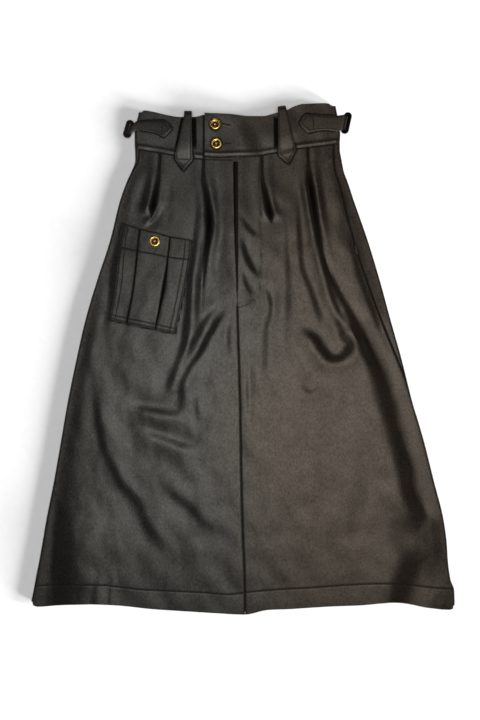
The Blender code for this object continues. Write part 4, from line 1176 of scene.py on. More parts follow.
def stitches(centres, ways, normals, length=STITCH, radius=THREAD):
    """Points and faces of short threads that bulge out of the cloth."""
    points, faces = [], []
    angles = np.linspace(0, 2 * math.pi, THREAD_SIDES, endpoint=False)
    for n, (centre, way, normal) in enumerate(zip(centres, ways, normals)):
        way = way / np.linalg.norm(way)
        side = np.cross(normal, way)
        side = side / np.linalg.norm(side)
        up = np.cross(way, side)
        base = n * THREAD_SIDES * len(THREAD_RINGS)
        for at, wide in THREAD_RINGS:
            middle = centre + way * at * length - up * radius * 0.9 * (2 * at) ** 2
            for a in angles:
                points.append(middle + (side * math.cos(a) + up * math.sin(a)) * radius * wide)
        for ring in range(len(THREAD_RINGS) - 1):
            for s in range(THREAD_SIDES):
                a = base + ring * THREAD_SIDES + s
                b = base + ring * THREAD_SIDES + (s + 1) % THREAD_SIDES
                faces.append((a, b, b + THREAD_SIDES, a + THREAD_SIDES))
        last = base + (len(THREAD_RINGS) - 1) * THREAD_SIDES
        faces.append(tuple(range(base + THREAD_SIDES - 1, base - 1, -1)))
        faces.append(tuple(range(last, last + THREAD_SIDES)))
    return np.array(points), np.array(faces)


def along(points, pitch=STITCH_PITCH):
    """Middles of stitches along a line of 3-D points, and their directions."""
    points = np.array(points, float)
    step = np.linalg.norm(np.diff(points, axis=0), axis=1)
    length = np.concatenate(([0.0], np.cumsum(step)))
    count = max(int(length[-1] / pitch), 1)
    at = (np.arange(count) + 0.5) * length[-1] / count
    found = np.stack([np.interp(at, length, points[:, i]) for i in range(3)], axis=1)
    ahead = np.stack([np.interp(at + 0.2, length, points[:, i]) for i in range(3)], axis=1)
    behind = np.stack([np.interp(at - 0.2, length, points[:, i]) for i in range(3)], axis=1)
    return found, ahead - behind


def on_face(rise, xy):
    """Points on a height field above plan points, and its normals there."""
    xy = np.array(xy, float)
    x, y = xy[:, 0], xy[:, 1]
    z = rise(x, y)
    slope_x, slope_y = slopes(rise, x, y)
    normal = np.stack((-slope_x, -slope_y, np.ones_like(z)), axis=1)
    return np.stack((x, y, z), axis=1), normal / np.linalg.norm(normal, axis=1)[:, None]


def sew(name, lines, material):
    """One piece of thread from several lines, each with its middles, ways, normals and any sizes."""
    points, faces, count = [], [], 0
    for line in lines:
        p, f = stitches(*line)
        points.append(p)
        faces.append(f + count)
        count += len(p)
    mesh = mesh_from(name, np.vstack(points), np.vstack(faces))
    return place(name, mesh, material, "wool_twill")


def sewn_on(rise, path, pitch=STITCH_PITCH):
    """Stitches along a plan path that lie on a height field."""
    way = np.array(path, float)
    flat = np.column_stack((way, np.zeros(len(way))))
    centres, ways = along(flat, pitch)
    points, normals = on_face(rise, centres[:, :2])
    ahead, _ = on_face(rise, centres[:, :2] + ways[:, :2])
    return points, ahead - points, normals


TACK_PITCH = 0.9
HOLE_PITCH = 1.0
HOLE_HALF = 1.3  # the rows of a buttonhole lie this far from its slit
HOLE_STITCH = (2.2, 0.45)  # length and radius
HOLE_END = (4.6, 0.6)
HOLE_END_AWAY = 0.6


def buttonhole(rise, start, end):
    """A row of close stitches on both sides of a slit, and its two ends."""
    start, end = np.array(start, float), np.array(end, float)
    way = (end - start) / np.linalg.norm(end - start)
    off = np.array((-way[1], way[0]))
    lines = []
    for side in (1, -1):
        row = (start + side * HOLE_HALF * off, end + side * HOLE_HALF * off)
        points, _, normals = sewn_on(rise, row, HOLE_PITCH)
        lines.append((points, np.tile((*off, 0.0), (len(points), 1)), normals, *HOLE_STITCH))
    points, normals = on_face(rise, np.array((start - way * HOLE_END_AWAY, end + way * HOLE_END_AWAY)))
    lines.append((points, np.tile((*off, 0.0), (2, 1)), normals, *HOLE_END))
    return lines


def bartack(rise, start, end, wide):
    """A short dense row of threads across a line."""
    start, end = np.array(start, float), np.array(end, float)
    way = (end - start) / np.linalg.norm(end - start)
    points, _, normals = sewn_on(rise, (start, end), TACK_PITCH)
    return points, np.tile((-way[1], way[0], 0.0), (len(points), 1)), normals, wide, HOLE_STITCH[1]


def sewn_across(grid, normals, places):
    """Stitches along a path of (row, column) places of a grid."""
    places = np.array(places, float)
    rows, columns = grid.shape[:2]

    def sample(field):
        r = np.clip(places[:, 0], 0, rows - 1.001)
        c = np.clip(places[:, 1], 0, columns - 1.001)
        i, j = r.astype(int), c.astype(int)
        s, t = (r - i)[:, None], (c - j)[:, None]
        return (
            field[i, j] * (1 - s) * (1 - t)
            + field[i + 1, j] * s * (1 - t)
            + field[i, j + 1] * (1 - s) * t
            + field[i + 1, j + 1] * s * t
        )

    line, up = sample(grid), sample(normals)
    centres, ways = along(line)
    step = np.linalg.norm(np.diff(line, axis=0), axis=1)
    length = np.concatenate(([0.0], np.cumsum(step)))
    at = (np.arange(len(centres)) + 0.5) * length[-1] / len(centres)
    found = np.stack([np.interp(at, length, up[:, i]) for i in range(3)], axis=1)
    return centres, ways, found


def strip_lines(ways):
    """Paths of (row of the table, tenth of the width) as dense places of a strip's grid."""
    lines = []
    for way in ways:
        points = np.array(way, float) * (STRIP_ROWS, (STRIP_COLUMNS - 1) / 10)
        t = np.linspace(0, len(way) - 1, 80)
        lines.append(np.stack([np.interp(t, np.arange(len(way)), points[:, i]) for i in (0, 1)], axis=1))
    return lines


def sewn_shade(grid, lines, dark=0.6, width=0.75):
    """Painted shade along the sewn lines of a strip."""
    rows, columns = grid.shape[:2]
    away = np.full((rows, columns), 99.0)
    for line in lines:
        for r, c in line:
            i, j = min(int(r), rows - 2), min(int(c), columns - 2)
            s, t = r - i, c - j
            point = (grid[i, j] * (1 - s) + grid[i + 1, j] * s) * (1 - t)
            point = point + (grid[i, j + 1] * (1 - s) + grid[i + 1, j + 1] * s) * t
            away = np.minimum(away, np.linalg.norm(grid - point, axis=-1))
    return dark * bell(away, width)


# Materials
def new_material(name):
    material = bpy.data.materials.new(name)
    material.use_nodes = True
    return material, material.node_tree, material.node_tree.nodes["Principled BSDF"]


def node(tree, kind, **values):
    made = tree.nodes.new(kind)
    for key, value in values.items():
        setattr(made, key, value)
    return made


def scaled(tree, scale, turn=0.0, coords=None):
    """Object coordinates, turned about Z and scaled."""
    source = coords or node(tree, "ShaderNodeTexCoord").outputs["Object"]
    mapping = node(tree, "ShaderNodeMapping")
    mapping.inputs["Rotation"].default_value = (0, 0, turn)
    mapping.inputs["Scale"].default_value = scale
    tree.links.new(source, mapping.inputs["Vector"])
    return mapping.outputs["Vector"]


def noise(tree, vector, scale, detail=3.0, roughness=0.55):
    made = node(tree, "ShaderNodeTexNoise")
    made.inputs["Scale"].default_value = scale
    made.inputs["Detail"].default_value = detail
    made.inputs["Roughness"].default_value = roughness
    tree.links.new(vector, made.inputs["Vector"])
    return made.outputs["Fac"]


def mapped(tree, value, low, high, to_low, to_high):
    made = node(tree, "ShaderNodeMapRange", interpolation_type="SMOOTHSTEP")
    for name, number in zip(("From Min", "From Max", "To Min", "To Max"), (low, high, to_low, to_high)):
        made.inputs[name].default_value = number
    tree.links.new(value, made.inputs["Value"])
    return made.outputs["Result"]


def mixed(tree, factor, a, b, blend="MIX"):
    made = node(tree, "ShaderNodeMix", data_type="RGBA", blend_type=blend)
    for socket, value in ((made.inputs[0], factor), (made.inputs[6], a), (made.inputs[7], b)):
        if isinstance(value, bpy.types.NodeSocket):
            tree.links.new(value, socket)
        elif isinstance(value, (int, float)):
            socket.default_value = value
        else:
            socket.default_value = (*value, 1.0)
    return made.outputs[2]


def maths(tree, operation, a, b=0.0):
    made = node(tree, "ShaderNodeMath", operation=operation)
    for socket, value in ((made.inputs[0], a), (made.inputs[1], b)):
        if isinstance(value, bpy.types.NodeSocket):
            tree.links.new(value, socket)
        else:
            socket.default_value = value
    return made.outputs[0]


# Cool and warm brown, mixed across X with random drifts: the warmth towards +X is a painted warm cast of
# light
COOL_WOOL = (0.0086, 0.0078, 0.0068)
WARM_WOOL = (0.0128, 0.0084, 0.0057)
# Near black wool and gloss of the painted shade in slits, along seams and beside what lies on the cloth
PAINTED_SHADE_WOOL = (0.0032, 0.0020, 0.0017)
PAINTED_SHADE_GLOSS = (0.02, 0.02, 0.02)
# Gloss tints mixed the same way: the warm one is a painted warm reflection towards +X
COOL_GLOSS = (0.97, 0.955, 0.895)
WARM_GLOSS = (1.0, 0.86, 0.72)
RIB_BAND = 0.31416  # Blender's wave texture repeats after this over its scale
TWILL_PITCH = 0.0011
WOOL_ROUGHNESS = 0.40
WOOL_SPECULAR = 0.42
WOOL_SHEEN = 0.30


def greyed(tree, shade):
    """A grey of this brightness."""
    grey = node(tree, "ShaderNodeCombineColor")
    for socket in grey.inputs[:3]:
        tree.links.new(shade, socket)
    return grey.outputs[0]


def bumped(tree, shader, height, strength, distance):
    bump = node(tree, "ShaderNodeBump")
    bump.inputs["Strength"].default_value = strength
    bump.inputs["Distance"].default_value = distance
    tree.links.new(height, bump.inputs["Height"])
    tree.links.new(bump.outputs["Normal"], shader.inputs["Normal"])


def wool(name, cool=COOL_WOOL, warm=WARM_WOOL, turn=0.0, dark=1.0, gloss_share=1.0):
    """Wool twill: diagonal ribs, a soft nap, random drifts of cooler and warmer brown, a painted warm cast
    of light towards +X, and painted shade, near black, in the slits, along seams and beside what lies on
    the cloth.
    """
    material, tree, shader = new_material(name)
    plain = scaled(tree, (1, 1, 1))
    ribs = node(tree, "ShaderNodeTexWave", wave_type="BANDS", bands_direction="X", wave_profile="SIN")
    tree.links.new(scaled(tree, (1, 1, 1), math.radians(52) + turn), ribs.inputs["Vector"])
    ribs.inputs["Scale"].default_value = RIB_BAND / TWILL_PITCH
    ribs.inputs["Distortion"].default_value = 0.6
    ribs.inputs["Detail"].default_value = 1.0
    ribs.inputs["Detail Scale"].default_value = 2.0
    nap = noise(tree, scaled(tree, (1, 0.45, 1), turn), 900.0, 4.0, 0.6)
    grain = noise(tree, scaled(tree, (1, 0.7, 1), turn), 380.0, 3.0, 0.6)
    mottle = noise(tree, plain, 34.0, 4.0, 0.6)
    drift = noise(tree, scaled(tree, (1, 0.6, 1)), 5.5, 2.0, 0.5)
    separate = node(tree, "ShaderNodeSeparateXYZ")
    tree.links.new(plain, separate.inputs[0])
    # Warmer towards +X: painted warm light, with the random drift added to it; the gloss tint follows it
    across = mapped(tree, separate.outputs["X"], -0.14, 0.16, 0.0, 1.0)
    drifted = maths(tree, "MULTIPLY", maths(tree, "SUBTRACT", drift, 0.5), 0.9)
    warm_light_and_drift = maths(tree, "ADD", across, drifted)
    warm_light_and_drift = mapped(tree, warm_light_and_drift, 0.0, 1.0, 0.0, 1.0)
    colour = mixed(tree, warm_light_and_drift, tuple(c * dark for c in cool), tuple(c * dark for c in warm))
    fleck = mapped(tree, nap, 0.36, 0.66, 0.80, 1.20)
    cloudy = mapped(tree, mottle, 0.35, 0.65, 0.93, 1.07)
    rib_shade = mapped(tree, ribs.outputs["Fac"], 0.1, 0.9, 0.90, 1.08)
    grainy = mapped(tree, grain, 0.34, 0.66, 0.80, 1.20)
    woven = maths(tree, "MULTIPLY", rib_shade, grainy)
    shade = maths(tree, "MULTIPLY", maths(tree, "MULTIPLY", fleck, cloudy), woven)
    grey = greyed(tree, shade)
    colour = mixed(tree, 1.0, colour, grey, "MULTIPLY")
    # This attribute darkens the colour and the gloss and roughens the face: painted shade and painted
    # shadow, set per point
    deep = node(tree, "ShaderNodeAttribute", attribute_name="deep")
    colour = mixed(tree, deep.outputs["Fac"], colour, PAINTED_SHADE_WOOL)
    tree.links.new(colour, shader.inputs["Base Color"])
    tints = (tuple(c * gloss_share for c in tint) for tint in (COOL_GLOSS, WARM_GLOSS))
    gloss = mixed(tree, 1.0, mixed(tree, warm_light_and_drift, *tints), grey, "MULTIPLY")
    gloss = mixed(tree, deep.outputs["Fac"], gloss, PAINTED_SHADE_GLOSS)
    tree.links.new(gloss, shader.inputs["Specular Tint"])
    napped = mapped(tree, nap, 0.3, 0.7, WOOL_ROUGHNESS - 0.04, WOOL_ROUGHNESS + 0.06)
    rough = maths(tree, "ADD", napped, maths(tree, "MULTIPLY", deep.outputs["Fac"], 0.4))
    tree.links.new(rough, shader.inputs["Roughness"])
    shader.inputs["Specular IOR Level"].default_value = WOOL_SPECULAR
    shader.inputs["Sheen Weight"].default_value = WOOL_SHEEN
    shader.inputs["Sheen Roughness"].default_value = 0.45
    shader.inputs["Sheen Tint"].default_value = (0.55, 0.50, 0.44, 1)
    ribbed = maths(tree, "MULTIPLY", ribs.outputs["Fac"], 0.5)
    bumped(tree, shader, maths(tree, "ADD", ribbed, maths(tree, "MULTIPLY", nap, 0.6)), 0.28, 0.0003)
    return material


def thread(name, colour):
    """Twisted sewing thread."""
    material, tree, shader = new_material(name)
    plain = scaled(tree, (1, 1, 1))
    twist = node(tree, "ShaderNodeTexWave", wave_type="BANDS", bands_direction="DIAGONAL")
    twist.inputs["Scale"].default_value = 900.0
    tree.links.new(plain, twist.inputs["Vector"])
    tone = noise(tree, plain, 220.0)
    shade = mapped(tree, tone, 0.3, 0.7, 0.7, 1.25)
    tree.links.new(mixed(tree, 1.0, colour, greyed(tree, shade), "MULTIPLY"), shader.inputs["Base Color"])
    rough = mapped(tree, twist.outputs["Fac"], 0.0, 1.0, 0.42, 0.6)
    tree.links.new(rough, shader.inputs["Roughness"])
    bumped(tree, shader, twist.outputs["Fac"], 0.4, 0.0001)
    return material


def metal(name, colour, dark, metallic, rough_low, rough_high, scratches=700.0):
    """Cast and polished metal: clean on its high rims, darker where dirt stays, with fine scratches."""
    material, tree, shader = new_material(name)
    plain = scaled(tree, (1, 1, 1))
    geometry = node(tree, "ShaderNodeNewGeometry")
    worn = mapped(tree, geometry.outputs["Pointiness"], 0.46, 0.56, 0.0, 1.0)
    stain = noise(tree, plain, 260.0, 4.0)
    dirty = mapped(tree, stain, 0.42, 0.62, 0.0, 0.5)
    tone = mixed(tree, worn, dark, colour)
    tree.links.new(mixed(tree, dirty, tone, dark), shader.inputs["Base Color"])
    fine = noise(tree, scaled(tree, (1, 0.12, 1), 0.7), scratches, 2.0)
    tree.links.new(mapped(tree, fine, 0.3, 0.7, rough_low, rough_high), shader.inputs["Roughness"])
    shader.inputs["Metallic"].default_value = metallic
    shader.inputs["Specular IOR Level"].default_value = 0.5 if metallic else 0.07
    bumped(tree, shader, stain, 0.15, 0.0001)
    return material


# Camera, light and floor come before the pieces, so that they are seen against the photo's frame
FRAME_CENTRE = (-4.95, -1.98)
FRAME_HEIGHT = 1188.0
CAMERA_HEIGHT = 3200.0
SENSOR = 36.0
WORLD = 0.03
FLOOR_REACH = 12.0
FLOOR_DROP = 0.0005  # the floor lies this far under the part, both in metres
FLOOR_SUNS = (  # name, way, strength, angle
    ("floor_low", (-0.93, 0.20, -0.115), 8.2, 13),
    ("floor_low_two", (-0.78, 0.54, -0.12), 8.2, 13),
    ("floor_high", (0.0, 0.0, -1.0), 1.62, 40),
)
GLOSS_LAMPS = (("gloss", (60, -110, 1350), 9.5), ("gloss_waist", (0, 340, 1350), 1.3))  # name, place, power
GLOSS_SIZE, GLOSS_COLOUR = 0.40, (1.0, 0.99, 0.96)
FILL_LAMPS = (
    ("fill_right", (2600, -600, 1300)),
    ("fill_left", (-2600, 400, 1300)),
    ("fill_top", (100, 2600, 1300)),
    ("fill_foot", (-200, -2600, 1300)),
)
FILL_SIZE, FILL_POWER, FILL_COLOUR = 1.2, 3.0, (0.98, 0.99, 1.0)
SMALL_PIECES = ("belt_loop", "adjuster_strap", "buckle", "waist_button", "stitches", "buttonholes")


def area_light(name, place_mm, aim_mm, size, power, colour):
    light = bpy.data.lights.new(name, "AREA")
    light.shape = "SQUARE"
    light.size = size
    light.energy = power
    light.color = colour
    thing = bpy.data.objects.new(name, light)
    where = Vector(place_mm) * MM
    thing.location = where
    thing.rotation_euler = (Vector(aim_mm) * MM - where).to_track_quat("-Z", "Y").to_euler()
    thing.visible_camera = False
    bpy.context.scene.collection.objects.link(thing)
    return thing


def sun_light(name, way, power, angle):
    light = bpy.data.lights.new(name, "SUN")
    light.energy = power
    light.angle = math.radians(angle)
    thing = bpy.data.objects.new(name, light)
    thing.rotation_euler = Vector(way).to_track_quat("-Z", "Y").to_euler()
    bpy.context.scene.collection.objects.link(thing)
    return thing


def ignores(lamp, things):
    """Lets these small things cast no shadow of a lamp."""
    group = bpy.data.collections.new(lamp.name + "_past")
    for thing in things:
        group.objects.link(thing)
    lamp.light_linking.blocker_collection = group
    for entry in group.collection_objects:
        entry.light_linking.link_state = "EXCLUDE"


def receives(lamp, thing, state):
    """Lets a lamp shine on this thing alone, or on all but this thing."""
    group = bpy.data.collections.new(lamp.name + "_on")
    group.objects.link(thing)
    lamp.light_linking.receiver_collection = group
    group.collection_objects[0].light_linking.link_state = state


def studio():
    scene = bpy.context.scene
    lens = bpy.data.cameras.new("camera")
    lens.sensor_width = SENSOR
    lens.lens = SENSOR * CAMERA_HEIGHT / FRAME_HEIGHT
    lens.clip_start, lens.clip_end = 0.1, 20.0
    camera = bpy.data.objects.new("camera", lens)
    camera.location = (FRAME_CENTRE[0] * MM, FRAME_CENTRE[1] * MM, (CAMERA_HEIGHT + 8) * MM)
    scene.collection.objects.link(camera)
    scene.camera = camera

    world = bpy.data.worlds.new("studio")
    world.use_nodes = True
    world.node_tree.nodes["Background"].inputs["Color"].default_value = (1, 1, 1, 1)
    world.node_tree.nodes["Background"].inputs["Strength"].default_value = WORLD
    scene.world = world
    scene.view_settings.view_transform = "Standard"

    floor_mesh = bpy.data.meshes.new("floor")
    reach = FLOOR_REACH
    corners = [(x * reach, y * reach, -FLOOR_DROP) for x, y in ((-1, -1), (1, -1), (1, 1), (-1, 1))]
    floor_mesh.from_pydata(corners, [], [(0, 1, 2, 3)])
    material, tree, shader = new_material("pale_floor")
    paper = noise(tree, scaled(tree, (1, 1, 1)), 90.0)
    tone = mapped(tree, paper, 0.3, 0.7, 0.0, 1.0)
    tree.links.new(mixed(tree, tone, (0.90, 0.90, 0.90), (0.92, 0.92, 0.92)), shader.inputs["Base Color"])
    shader.inputs["Roughness"].default_value = 0.9
    shader.inputs["Specular IOR Level"].default_value = 0.1
    floor_mesh.materials.append(material)
    floor = bpy.data.objects.new("floor", floor_mesh)
    scene.collection.objects.link(floor)

    # The paper has its own soft lamps, so that the cloth keeps one soft gloss from above
    for name, way, power, angle in FLOOR_SUNS:
        receives(sun_light(name, way, power, angle), floor, "INCLUDE")
    for name, place_mm, power in GLOSS_LAMPS:
        lamp = area_light(name, place_mm, (*place_mm[:2], 0), GLOSS_SIZE, power, GLOSS_COLOUR)
        receives(lamp, floor, "EXCLUDE")
    for name, place_mm in FILL_LAMPS:
        lamp = area_light(name, place_mm, (0, 0, 0), FILL_SIZE, FILL_POWER, FILL_COLOUR)
        receives(lamp, floor, "EXCLUDE")


def turned(name, profile, places, steps, material, slot, nodes=()):
    """A turned piece from a profile of radius and height."""
    angles = np.linspace(0, 2 * math.pi, steps, endpoint=False)
    ring = np.stack((np.cos(angles), np.sin(angles)), axis=-1)
    points = np.concatenate(
        [np.column_stack((ring * radius, np.full(steps, height))) for radius, height in profile]
    ) + np.array(places)
    grid = np.arange(len(points)).reshape(-1, steps)
    turned_on = np.roll(grid, -1, axis=1)
    faces = np.stack((grid[:-1], grid[1:], turned_on[1:], turned_on[:-1]), axis=-1).reshape(-1, 4)
    return place(name, mesh_from(name, points, faces), material, slot, nodes)


BUTTON_FINE = (  # radius and height, from the recess over the rim to the foot and the middle again
    (0.01, 1.2), (1.8, 1.2), (2.8, 1.3), (3.4, 1.7), (3.9, 2.6), (4.3, 3.0), (5.0, 3.05), (5.4, 3.25),
    (6.0, 3.7), (6.8, 3.9), (7.7, 3.75), (8.5, 3.4), (9.1, 2.85), (9.4, 2.2), (9.4, 1.7), (9.1, 1.1),
    (8.4, 0.55), (7.2, 0.2), (4.0, 0.1), (0.01, 0.1),
)
BUTTON_CUP = (
    (0.01, 1.35), (1.9, 1.35), (2.9, 1.5), (3.5, 1.9), (3.9, 2.65), (3.7, 2.65), (3.3, 1.75), (0.01, 1.25),
)
BUTTON_TURNS = {"waist_button_upper": 25, "waist_button_lower": 70, "pocket_button": 0}


def button(name, x, y, foot, metals, linen):
    """A brass button: a rolled rim, a dark recess, and the bar in it with the thread that goes round."""
    brass, dark = metals
    turned(name + "_body", BUTTON_FINE, (x, y, foot), 48, brass, "brass", (name,))
    turned(name + "_cup", BUTTON_CUP, (x, y, foot), 40, dark, "brass")
    turn = math.radians(BUTTON_TURNS[name])
    way = np.array((math.cos(turn), math.sin(turn), 0.0))
    side = np.array((-way[1], way[0], 0.0))
    up = np.array((0.0, 0.0, 1.0))
    middle = np.array((x, y, foot + 2.7))
    points, faces = stitches([middle + side * s for s in (-1.0, 1.0)], [way] * 2, [up] * 2, 6.4, 0.42)
    place(name + "_bars", mesh_from(name + "_bars", points, faces), brass, "brass")
    wraps = [middle + way * s + up * 0.25 for s in (-1.1, -0.35, 0.4, 1.1)]
    points, faces = stitches(wraps, [side + way * 0.15] * 4, [up] * 4, 3.6, 0.36)
    place(name + "_thread", mesh_from(name + "_thread", points, faces), linen, "wool_twill")


# Make the pieces
studio()
front_wool = wool("wool_front")
# The band's wool is a lighter, glossier copy and the pocket's a darker, duller copy of the same cloth:
# painted light and painted shade
band_wool = wool("wool_band", turn=math.radians(8), dark=1.05, gloss_share=1.15)
pocket_wool = wool("wool_pocket", turn=math.radians(-12), dark=0.95, gloss_share=0.84)
strap_wool = wool("wool_straps", turn=math.radians(84))
# The underlap's wool is a half as bright copy: painted shade, as the strip lies in shadow
under_wool = wool("wool_underlap", turn=math.radians(90), dark=0.5)
dark_thread = thread("thread_dark", (0.012, 0.010, 0.009))
hole_thread = thread("thread_holes", (0.075, 0.060, 0.048))
pale_thread = thread("thread_pale", (0.16, 0.13, 0.11))
linen_thread = thread("thread_linen", (0.62, 0.50, 0.42))
brass = metal("brass_aged", (0.86, 0.56, 0.15), (0.34, 0.19, 0.05), 1.0, 0.20, 0.40)
brass_dark = metal("brass_recess", (0.05, 0.028, 0.012), (0.015, 0.010, 0.006), 1.0, 0.45, 0.65)
black = metal("buckle_black", (0.0035, 0.0033, 0.003), (0.002, 0.002, 0.002), 0.0, 0.5, 0.65)
brown = metal("buckle_brown", (0.016, 0.010, 0.007), (0.006, 0.004, 0.003), 0.0, 0.5, 0.65)


def sheet(thing):
    """Hands the cloth piece back as it is."""
    return thing


def seam_shade(grid):
    """Painted shade next to a side seam, on the first columns of a panel."""
    away = np.linalg.norm(grid - grid[:, :1], axis=-1)
    return 0.95 * bell(away, 1.8)


sewing = []
for side, label, waist in ((-1, "front_right", RIGHT_WAIST), (1, "front_left", LEFT_WAIST)):
    grids = front_panel(side)
    outer = grids[0]
    x, y = outer[..., 0], outer[..., 1]
    # Painted shade and shadow on each front: in the slits, along the seams, beside the loops and the
    # pocket, and by the side seam
    deep = painted_slit_shade(x, y)
    deep = np.maximum(deep, painted_seam_shade(x, y, waist))
    deep = np.maximum(deep, loop_shadows(x, y) * (y < look_up(waist, x, 1)))
    if side < 0:
        deep = np.maximum(deep, pocket_outline_shadow(x, y))
    deep = deep * (outer[..., 2] > PANEL_EDGE / 2)
    deep = np.maximum(deep, seam_shade(outer))
    sheet(cloth(label + "_cloth", grids, label, front_wool, deep=deep))
    if side > 0:
        along_seam = [(row, 3.0) for row in np.linspace(2, 190, 400)]
        sewing.append(sewn_across(outer, wool_face_normal(outer), along_seam))
grids = back_panel()
sheet(cloth("back_cloth", grids, "back", front_wool, deep=0.8 * seam_shade(grids[0])))
grids = underlap()
# Painted shade over the whole underlap, darkest towards the right front's side
deep = 0.55 + 0.4 * ease((-9.0 - grids[0][..., 0]) / 7.0)
strip_cloth = cloth("fly_underlap_cloth", grids, "fly_underlap", under_wool, deep=deep)
sheet(strip_cloth)
for label, side, rise, top, waist, x_end, steps in (
    ("waistband_right", -1, right_band_rise, RIGHT_BAND_TOP, RIGHT_WAIST, RIGHT_BAND_END, 100),
    ("waistband_left", 1, left_band_rise, LEFT_BAND_TOP, LEFT_WAIST, TAB_END, 140),
):
    grids = front_band(side, rise, top, waist, x_end, steps)
    # Painted shade and shadow on each front waistband
    deep = band_shadows(grids[0][..., 0], grids[0][..., 1], waist) * (grids[0][..., 2] > BAND_EDGE / 2)
    band = cloth(label + "_cloth", grids, label, band_wool, bevel=1.2, deep=deep)
    sheet(band)
band = cloth("waistband_back_cloth", back_band(), "waistband_back", band_wool, bevel=1.0)
sheet(band)

grids = pocket()
u, v = np.meshgrid(np.linspace(0, 1, POCKET_FINE[0]), np.linspace(0, 1, POCKET_FINE[1]))
pocket_cloth = cloth("cargo_pocket_cloth", grids, "cargo_pocket", pocket_wool, deep=pocket_shade(u, v))
sheet(pocket_cloth)
columns, rows = POCKET_FINE[0] - 1, POCKET_FINE[1] - 1
pocket_up = wool_face_normal(grids[0])
pocket_up *= np.sign(pocket_up[..., 2:])
pocket_lines = [[(POCKET_BAND[0], 0.02), (POCKET_BAND[1], 0.98)]]
for share in POCKET_SEWN:
    pocket_lines += [[(0.01, share), (0.985, share)], [(0.01, 1 - share), (0.985, 1 - share)]]
pocket_lines += [[(share, 0.02), (share, 0.98)] for share in POCKET_FOOT_SEWN]
for start, end in pocket_lines:
    way = [(rows * (start[0] + (end[0] - start[0]) * t), columns * (start[1] + (end[1] - start[1]) * t))
           for t in np.linspace(0, 1, 60)]
    sewing.append(sewn_across(grids[0], pocket_up, way))

for label, rows, nodes in (
    ("belt_loop_right", RIGHT_LOOP, ("waistband_right_cloth", "front_right_cloth")),
    ("belt_loop_left", LEFT_LOOP, ("waistband_left_cloth", "front_left_cloth")),
):
    grids = belt_loop(rows)
    lines = strip_lines((
        [(10.1, 0.9), (10.1, 9.1)],
        [(10.3, 1.3), (11.75, 4.6), (11.75, 5.4), (10.3, 8.7)],
        [(4.4, 0.9), (10.1, 0.9)],
        [(4.4, 9.1), (10.1, 9.1)],
    ))
    piece = cloth(label + "_cloth", grids, label, strap_wool, bevel=0.8, deep=sewn_shade(grids[0], lines))
    sheet(piece)
    up = wool_face_normal(grids[0])
    up *= np.sign(grids[0] - grids[1])[..., 2:]
    sewing += [sewn_across(grids[0], up, line) for line in lines]

for label, rows, buckle, node in (
    ("adjuster_strap_right", RIGHT_STRAP, BUCKLES[0], "waistband_right_cloth"),
    ("adjuster_strap_left", LEFT_STRAP, BUCKLES[1], "waistband_left_cloth"),
):
    grids = adjuster(rows, buckle)
    cross = 1.75 if label.endswith("left") else 1.3
    lines = strip_lines((
        [(0.35, 4.6), (1.25, 1.1), (4.8, 1.1)],
        [(0.35, 5.4), (1.25, 8.9), (4.8, 8.9)],
        [(cross, 1.3), (cross, 8.7)],
    ))
    piece = cloth(label + "_cloth", grids, label, strap_wool, bevel=0.8, deep=sewn_shade(grids[0], lines))
    sheet(piece)
    up = wool_face_normal(grids[0])
    up *= np.sign(grids[0] - grids[1])[..., 2:]
    sewing += [sewn_across(grids[0], up, line) for line in lines]

# Seams and stitches that lie on the fronts and the waistbands
hem_x = np.linspace(-338, 345, 300)
sewing.append(sewn_on(dressed_rise, np.stack((hem_x, look_up(HEM_STITCH, hem_x, 1)), axis=1)))
sewing.append(sewn_on(dressed_rise, spline(FLY_STITCH)))
foot_y = np.linspace(FLY_FOOT - 6, -414, 200)
seam_x = (look_up(FLY, foot_y, 1) + look_up(FLY, foot_y, 2)) / 2 + CENTRE_STITCH_AWAY
sewing.append(sewn_on(dressed_rise, np.stack((seam_x, foot_y), axis=1)))
sewing.append(bartack(dressed_rise, (-10, 84), (12, 91), 2.4))
for rise, top, waist, start, end in (
    (right_band_rise, RIGHT_BAND_TOP, RIGHT_WAIST, -168, TAB_END - 3),
    (left_band_rise, LEFT_BAND_TOP, LEFT_WAIST, TAB_END + 4, 148),
):
    x = np.linspace(start, end, 120)
    sewing.append(sewn_on(rise, np.stack((x, look_up(waist, x, 1) + 2.4), axis=1)))
    sewing.append(sewn_on(rise, np.stack((x, look_up(top, x, 1) - 3.4), axis=1)))
tab_y = np.linspace(LEFT_BAND_TOP[0][1] - 4, LEFT_WAIST[0][1] + 4, 20)
sewing.append(sewn_on(left_band_rise, np.stack((np.full(20, TAB_END + 4.0), tab_y), axis=1)))
holes = []
for start, end in BUTTONHOLES:
    holes += buttonhole(left_band_rise, start, end)


BUCKLE_SLOT = 1.0  # width left open in the frame
BUCKLE_CORNERS = ((1, 1, 0), (-1, 1, 90), (-1, -1, 180), (1, -1, 270))  # side in x and y, first angle
BUCKLE_STEPS = 8  # to each corner
BUCKLE_SIDES = 12


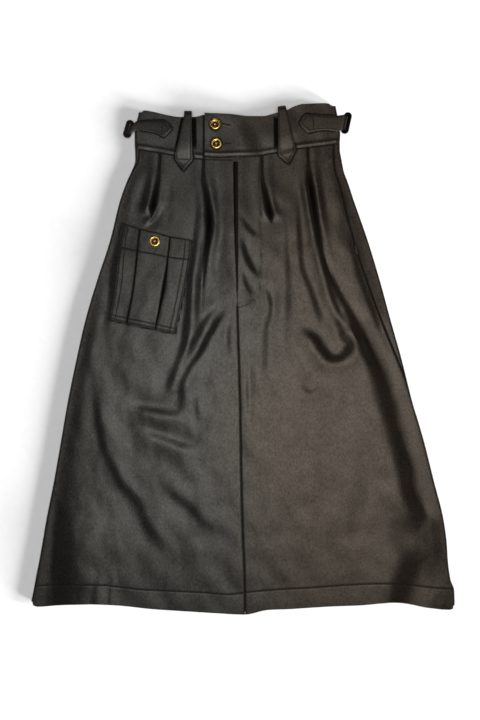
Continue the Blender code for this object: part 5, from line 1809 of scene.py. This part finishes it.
def buckle_piece(name, buckle, material):
    """A slide frame: a flat bar of rounded section, bent into a rounded rectangle."""
    side, x, y, z, height, width, tilt, turn = buckle
    ring = []
    for sx, sy, start in BUCKLE_CORNERS:
        for part in range(BUCKLE_STEPS + 1):
            angle = math.radians(start + 90 * part / BUCKLE_STEPS)
            ring.append((sx, sy, math.cos(angle), math.sin(angle)))
    points = []
    half_wide, half_thick = (width - BUCKLE_SLOT) / 4, BUCKLE_WIRE * 0.8
    for sx, sy, cos, sin in ring:
        for part in range(BUCKLE_SIDES):
            a = 2 * math.pi * part / BUCKLE_SIDES
            out = half_wide * np.sign(math.cos(a)) * abs(math.cos(a)) ** 0.6
            up = half_thick * np.sign(math.sin(a)) * abs(math.sin(a)) ** 0.6
            reach = BUCKLE_CORNER + out
            middle_x = sx * (width / 2 - half_wide - BUCKLE_CORNER)
            middle_y = sy * (height / 2 - half_wide - BUCKLE_CORNER)
            points.append((middle_x + cos * reach, middle_y + sin * reach, up))
    grid = np.arange(len(points)).reshape(-1, BUCKLE_SIDES)
    ahead, beyond = np.roll(grid, -1, axis=0), np.roll(grid, (-1, -1), axis=(0, 1))
    faces = np.stack((grid, ahead, beyond, np.roll(grid, -1, axis=1)), axis=-1).reshape(-1, 4)
    thing = place(name, mesh_from(name, np.array(points), faces), material, "black_metal")
    thing.location = (x * MM, y * MM, z * MM)
    thing.rotation_euler = (0, -math.radians(tilt) * side, math.radians(turn))
    return thing


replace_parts(buckle_piece("buckle_right_frame", BUCKLES[0], brown), "buckle_right")
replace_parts(buckle_piece("buckle_left_frame", BUCKLES[1], black), "buckle_left")


def rise_of_pocket(x, y):
    return front_rise(x, y) + POCKET_CLEAR + POCKET_PLEAT_RISE + CLOTH


sew("stitches", sewing + buttonhole(rise_of_pocket, (-141.5, 181.5), (-147.5, 173.5)), dark_thread)
sew("buttonholes", holes, hole_thread)
pale = [bartack(dressed_rise, (185.5, 187), (188.5, 173), 1.8)]
ring = np.radians(np.arange(0, 360, 40))
tack = np.stack((145.2 + 2.2 * np.cos(ring), 326.3 + 2.2 * np.sin(ring)), axis=1)
pale.append(sewn_on(dressed_rise, tack, 1.6))
sew("tacks", pale, pale_thread)

for label, x, y in BUTTON_PLACES:
    carrier = rise_of_pocket if label == "pocket_button" else left_band_rise
    ring = np.radians(np.arange(0, 360, 30))
    foot = carrier(x + 7 * np.cos(ring), y + 7 * np.sin(ring)).max() + 0.3
    button(label, x, y, foot, (brass, brass_dark), linen_thread)

small_things = [o for o in bpy.data.objects if o.name.startswith(SMALL_PIECES) and o.type == "MESH"]
for name in ("floor_low", "floor_low_two"):
    ignores(bpy.data.objects[name], small_things)
